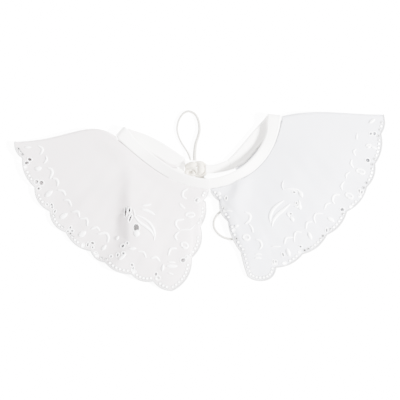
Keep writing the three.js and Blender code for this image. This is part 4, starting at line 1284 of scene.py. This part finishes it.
def band_half(side):
    """Both edges of the band from the front centre, over the shoulder, to the back"""
    front = band_edges(side, "front", np.linspace(0, 1, 70, endpoint=False))
    back = band_edges(side, "back", np.linspace(0, 1, 44))
    turns = np.linspace(0, np.pi, 14, endpoint=False)
    rolled = []
    for edge, heading in ((back[0][0], SIDES[side]["at_seam"]), (back[1][0], SIDES[side]["across_band"])):
        level = edge[None, :2] + towards(heading) * (ROLL_AT_NECK * np.sin(turns))[:, None]
        height = edge[2] + ROLL_AT_NECK * (1 + np.cos(turns))
        rolled.append(np.concatenate([level, height[:, None]], -1))
    return [np.concatenate([front[i], rolled[i], back[i]]) for i in (0, 1)]


def strip_places(seam, free, thickness, sides=16):
    """Places of a closed strip with soft, rounded edges"""
    across = free - seam
    along = unit(np.gradient(seam, axis=0) + np.gradient(free, axis=0))
    through = unit(np.cross(across, along))
    turn = np.linspace(0, 2 * np.pi, sides + 1)
    cos, sin = np.cos(turn), np.sin(turn)
    flat = np.sign(cos) * np.abs(cos) ** 0.45
    deep = np.sign(sin) * np.abs(sin) ** 0.75
    middle = (seam + free) / 2
    places = (
        middle[:, None]
        + across[:, None] * (flat / 2)[None, :, None]
        + through[:, None] * (deep * thickness / 2)[None, :, None]
    )
    ends = [middle[i] + sign * along[i] * thickness * STRIP_END for i, sign in ((0, -1), (-1, 1))]
    first = mix(ends[0], places[0] + (ends[0] - middle[0]), STRIP_END_SIZE)
    last = mix(ends[1], places[-1] + (ends[1] - middle[-1]), STRIP_END_SIZE)
    caps = [np.broadcast_to(end, places[0].shape) for end in ends]
    return np.concatenate([caps[0][None], first[None], places, last[None], caps[1][None]]), through


class COLLAR_OT_neck_band(bpy.types.Operator):
    """Bind the neck with its narrow band and the two rows of stitches"""

    bl_idname = "collar.neck_band"
    bl_label = "Neck band"

    def execute(self, context):
        left, right = band_half("left"), band_half("right")
        seam, free = (np.concatenate([left[i][::-1], right[i][1:]]) for i in (0, 1))
        places, through = strip_places(seam, free, BAND_THICKNESS)
        band = solid_piece(places, "neck_band_cotton", "band_weave")
        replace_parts(band, "neck_band")
        bm = bmesh.new()
        for share in STITCH_ROWS:
            line = mix(seam, free, share)
            for face in (1, -1):
                self.stitches(bm, line + through * face * BAND_THICKNESS * 0.45, through * face)
        finished(bm, "neck_band_stitches", finish_of("white_thread"))
        return {"FINISHED"}

    def stitches(self, bm, line, through):
        travelled = distance_along(line)
        for start in np.arange(1.5, travelled[-1] - 2.5, STITCH_PITCH):
            wanted = start + np.linspace(0, STITCH_LENGTH, 5)
            path = resampled(wanted, travelled, line)
            up = resampled(wanted, travelled, through)
            path = path + up * (0.16 * np.sin(np.linspace(0, np.pi, 5)))[:, None]
            aside = np.cross(up, unit(np.gradient(path, axis=0)))
            shaped_grid(bm, tube_places(path, aside, 0.22, 0.18, sides=6))


# Turns of the knot from the bottom up: half width, half height, then the points it runs through
KNOT_TURNS = [
    (3.4, 1.1, [(-12.6, 31.0, 1.2), (-10.2, 29.2, 1.3), (-7.0, 28.4, 1.3)]),
    (1.7, 1.5, [(-5.2, 27.0, 2.0), (-1.8, 24.6, 1.9), (1.4, 22.4, 1.6), (2.2, 21.2, 1.4)]),
    (1.8, 1.7, [(-4.6, 38.4, 3.4), (1.0, 39.0, 3.2), (5.0, 36.6, 3.0), (6.3, 32.4, 2.9), (5.2, 28.0, 2.7),
                (0.8, 25.6, 2.4), (-4.6, 26.2, 2.3)]),
    (1.9, 1.8, [(-7.4, 31.6, 3.2), (-11.6, 31.6, 3.0), (-13.6, 29.4, 2.6), (-12.4, 26.6, 2.3),
                (-8.6, 26.0, 2.4), (-5.8, 28.2, 3.0), (-6.6, 30.8, 3.6)]),
    (3.0, 2.6, [(-13.8, 34.6, 3.2), (-11.2, 36.0, 4.4), (-7.6, 36.6, 5.0), (-3.8, 36.4, 4.4)]),
    (3.5, 2.7, [(-1.6, 37.4, 4.0), (0.6, 34.8, 5.2), (1.0, 31.6, 5.4), (-0.8, 28.6, 4.2)]),
    (1.6, 1.3, [(-14.0, 33.2, 2.6), (-10.4, 32.9, 4.6), (-6.4, 33.0, 5.8), (-3.6, 31.6, 5.9),
                (-3.0, 28.8, 4.4)]),
]


class COLLAR_OT_knot(bpy.types.Operator):
    """Tie the ends of the band's tape in a soft knot"""

    bl_idname = "collar.knot"
    bl_label = "Knot and ties"

    def execute(self, context):
        bm = bmesh.new()
        for half_width, half_height, points in KNOT_TURNS:
            path = smooth_path(points, 0.7)
            share = np.linspace(0, 1, len(path))
            swell = 1 + 0.08 * np.sin(7 * share + half_width) - 0.25 * np.abs(2 * share - 1) ** 3
            places = tube_places(path, (0, 0, 1), half_height * swell, half_width * swell, sides=16)
            places[..., 2] = np.maximum(places[..., 2], 0.05)
            shaped_grid(bm, places)
        knot = finished(bm, "tie_knot_turns", finish_of("knot_tape"))
        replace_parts(knot, "tie_knot")
        for side in SIDES:
            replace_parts(self.tape(f"tie_{side}_tape", *self.tie_edges(side)), f"tie_{side}")
        share = np.linspace(0, 1, 18)[:, None]
        middle = mix(*TAIL_ENDS, share) + TAIL_ARCH * np.sin(np.pi * share)
        across = TAIL_ACROSS * mix(*TAIL_HALF_WIDTHS, share)
        self.tape("tie_left_tail", middle - across, middle + across)
        return {"FINISHED"}

    def tape(self, name, seam, free):
        places, _ = strip_places(seam, free, TIE_THICKNESS)
        return solid_piece(places, name, "band_weave")

    def tie_edges(self, side):
        seam, free = (edge[0] for edge in band_edges(side, "back", np.array([1.0])))
        leave = np.array([*seam_direction(side, "back", 1.0), 0])
        start = (seam + free) / 2 + leave * 0.55
        first_across = unit(free - seam)
        x, y = TIE_MEETS_KNOT[side]
        stop = np.array(KNOT_CENTRE) + [x * KNOT_SIZE[0], y * KNOT_SIZE[1], 0]
        share = np.linspace(0, 1, 15)[:, None]
        middle = mix(start, stop, share) + leave * 0.12 * np.linalg.norm(stop - start) * np.sin(np.pi * share)
        across = unit(mix(first_across, np.array([0.0, 1.0, 0.0]), share))
        half_width = mix(0.48 * BAND_WIDTH, TIE_WIDTH / 2, smooth(share, 0.0, 0.6))
        return middle - across * half_width, middle + across * half_width


class COLLAR_PT_panel(bpy.types.Panel):
    """Lists the steps that dress the collar"""

    bl_idname = "COLLAR_PT_panel"
    bl_label = "Cape Collar"
    bl_space_type = "VIEW_3D"
    bl_region_type = "UI"
    bl_category = "Collar"

    def draw(self, context):
        for group in (context.scene.collar_sizes, context.scene.collar_looks):
            for name in group.bl_rna.properties.keys():
                if name not in {"rna_type", "name"}:
                    self.layout.prop(group, name)
        for operator in OPERATORS:
            self.layout.operator(operator.bl_idname)


OPERATORS = (
    COLLAR_OT_stage, COLLAR_OT_loops, COLLAR_OT_wings,
    COLLAR_OT_embroidery, COLLAR_OT_neck_band, COLLAR_OT_knot,
)
CLASSES = (CollarLooks, CollarSizes, *OPERATORS, COLLAR_PT_panel)


def register():
    for made in CLASSES:
        bpy.utils.register_class(made)
    bpy.types.Scene.collar_looks = bpy.props.PointerProperty(type=CollarLooks)
    bpy.types.Scene.collar_sizes = bpy.props.PointerProperty(type=CollarSizes)


def unregister():
    del bpy.types.Scene.collar_sizes
    del bpy.types.Scene.collar_looks
    for made in reversed(CLASSES):
        bpy.utils.unregister_class(made)


def main():
    register()
    for step in ("stage", "loops", "wings", "embroidery", "neck_band", "knot"):
        if getattr(bpy.ops.collar, step)() != {"FINISHED"}:
            raise RuntimeError(f"the step {step} was not finished")
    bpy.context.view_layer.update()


if __name__ == "__main__":
    main()
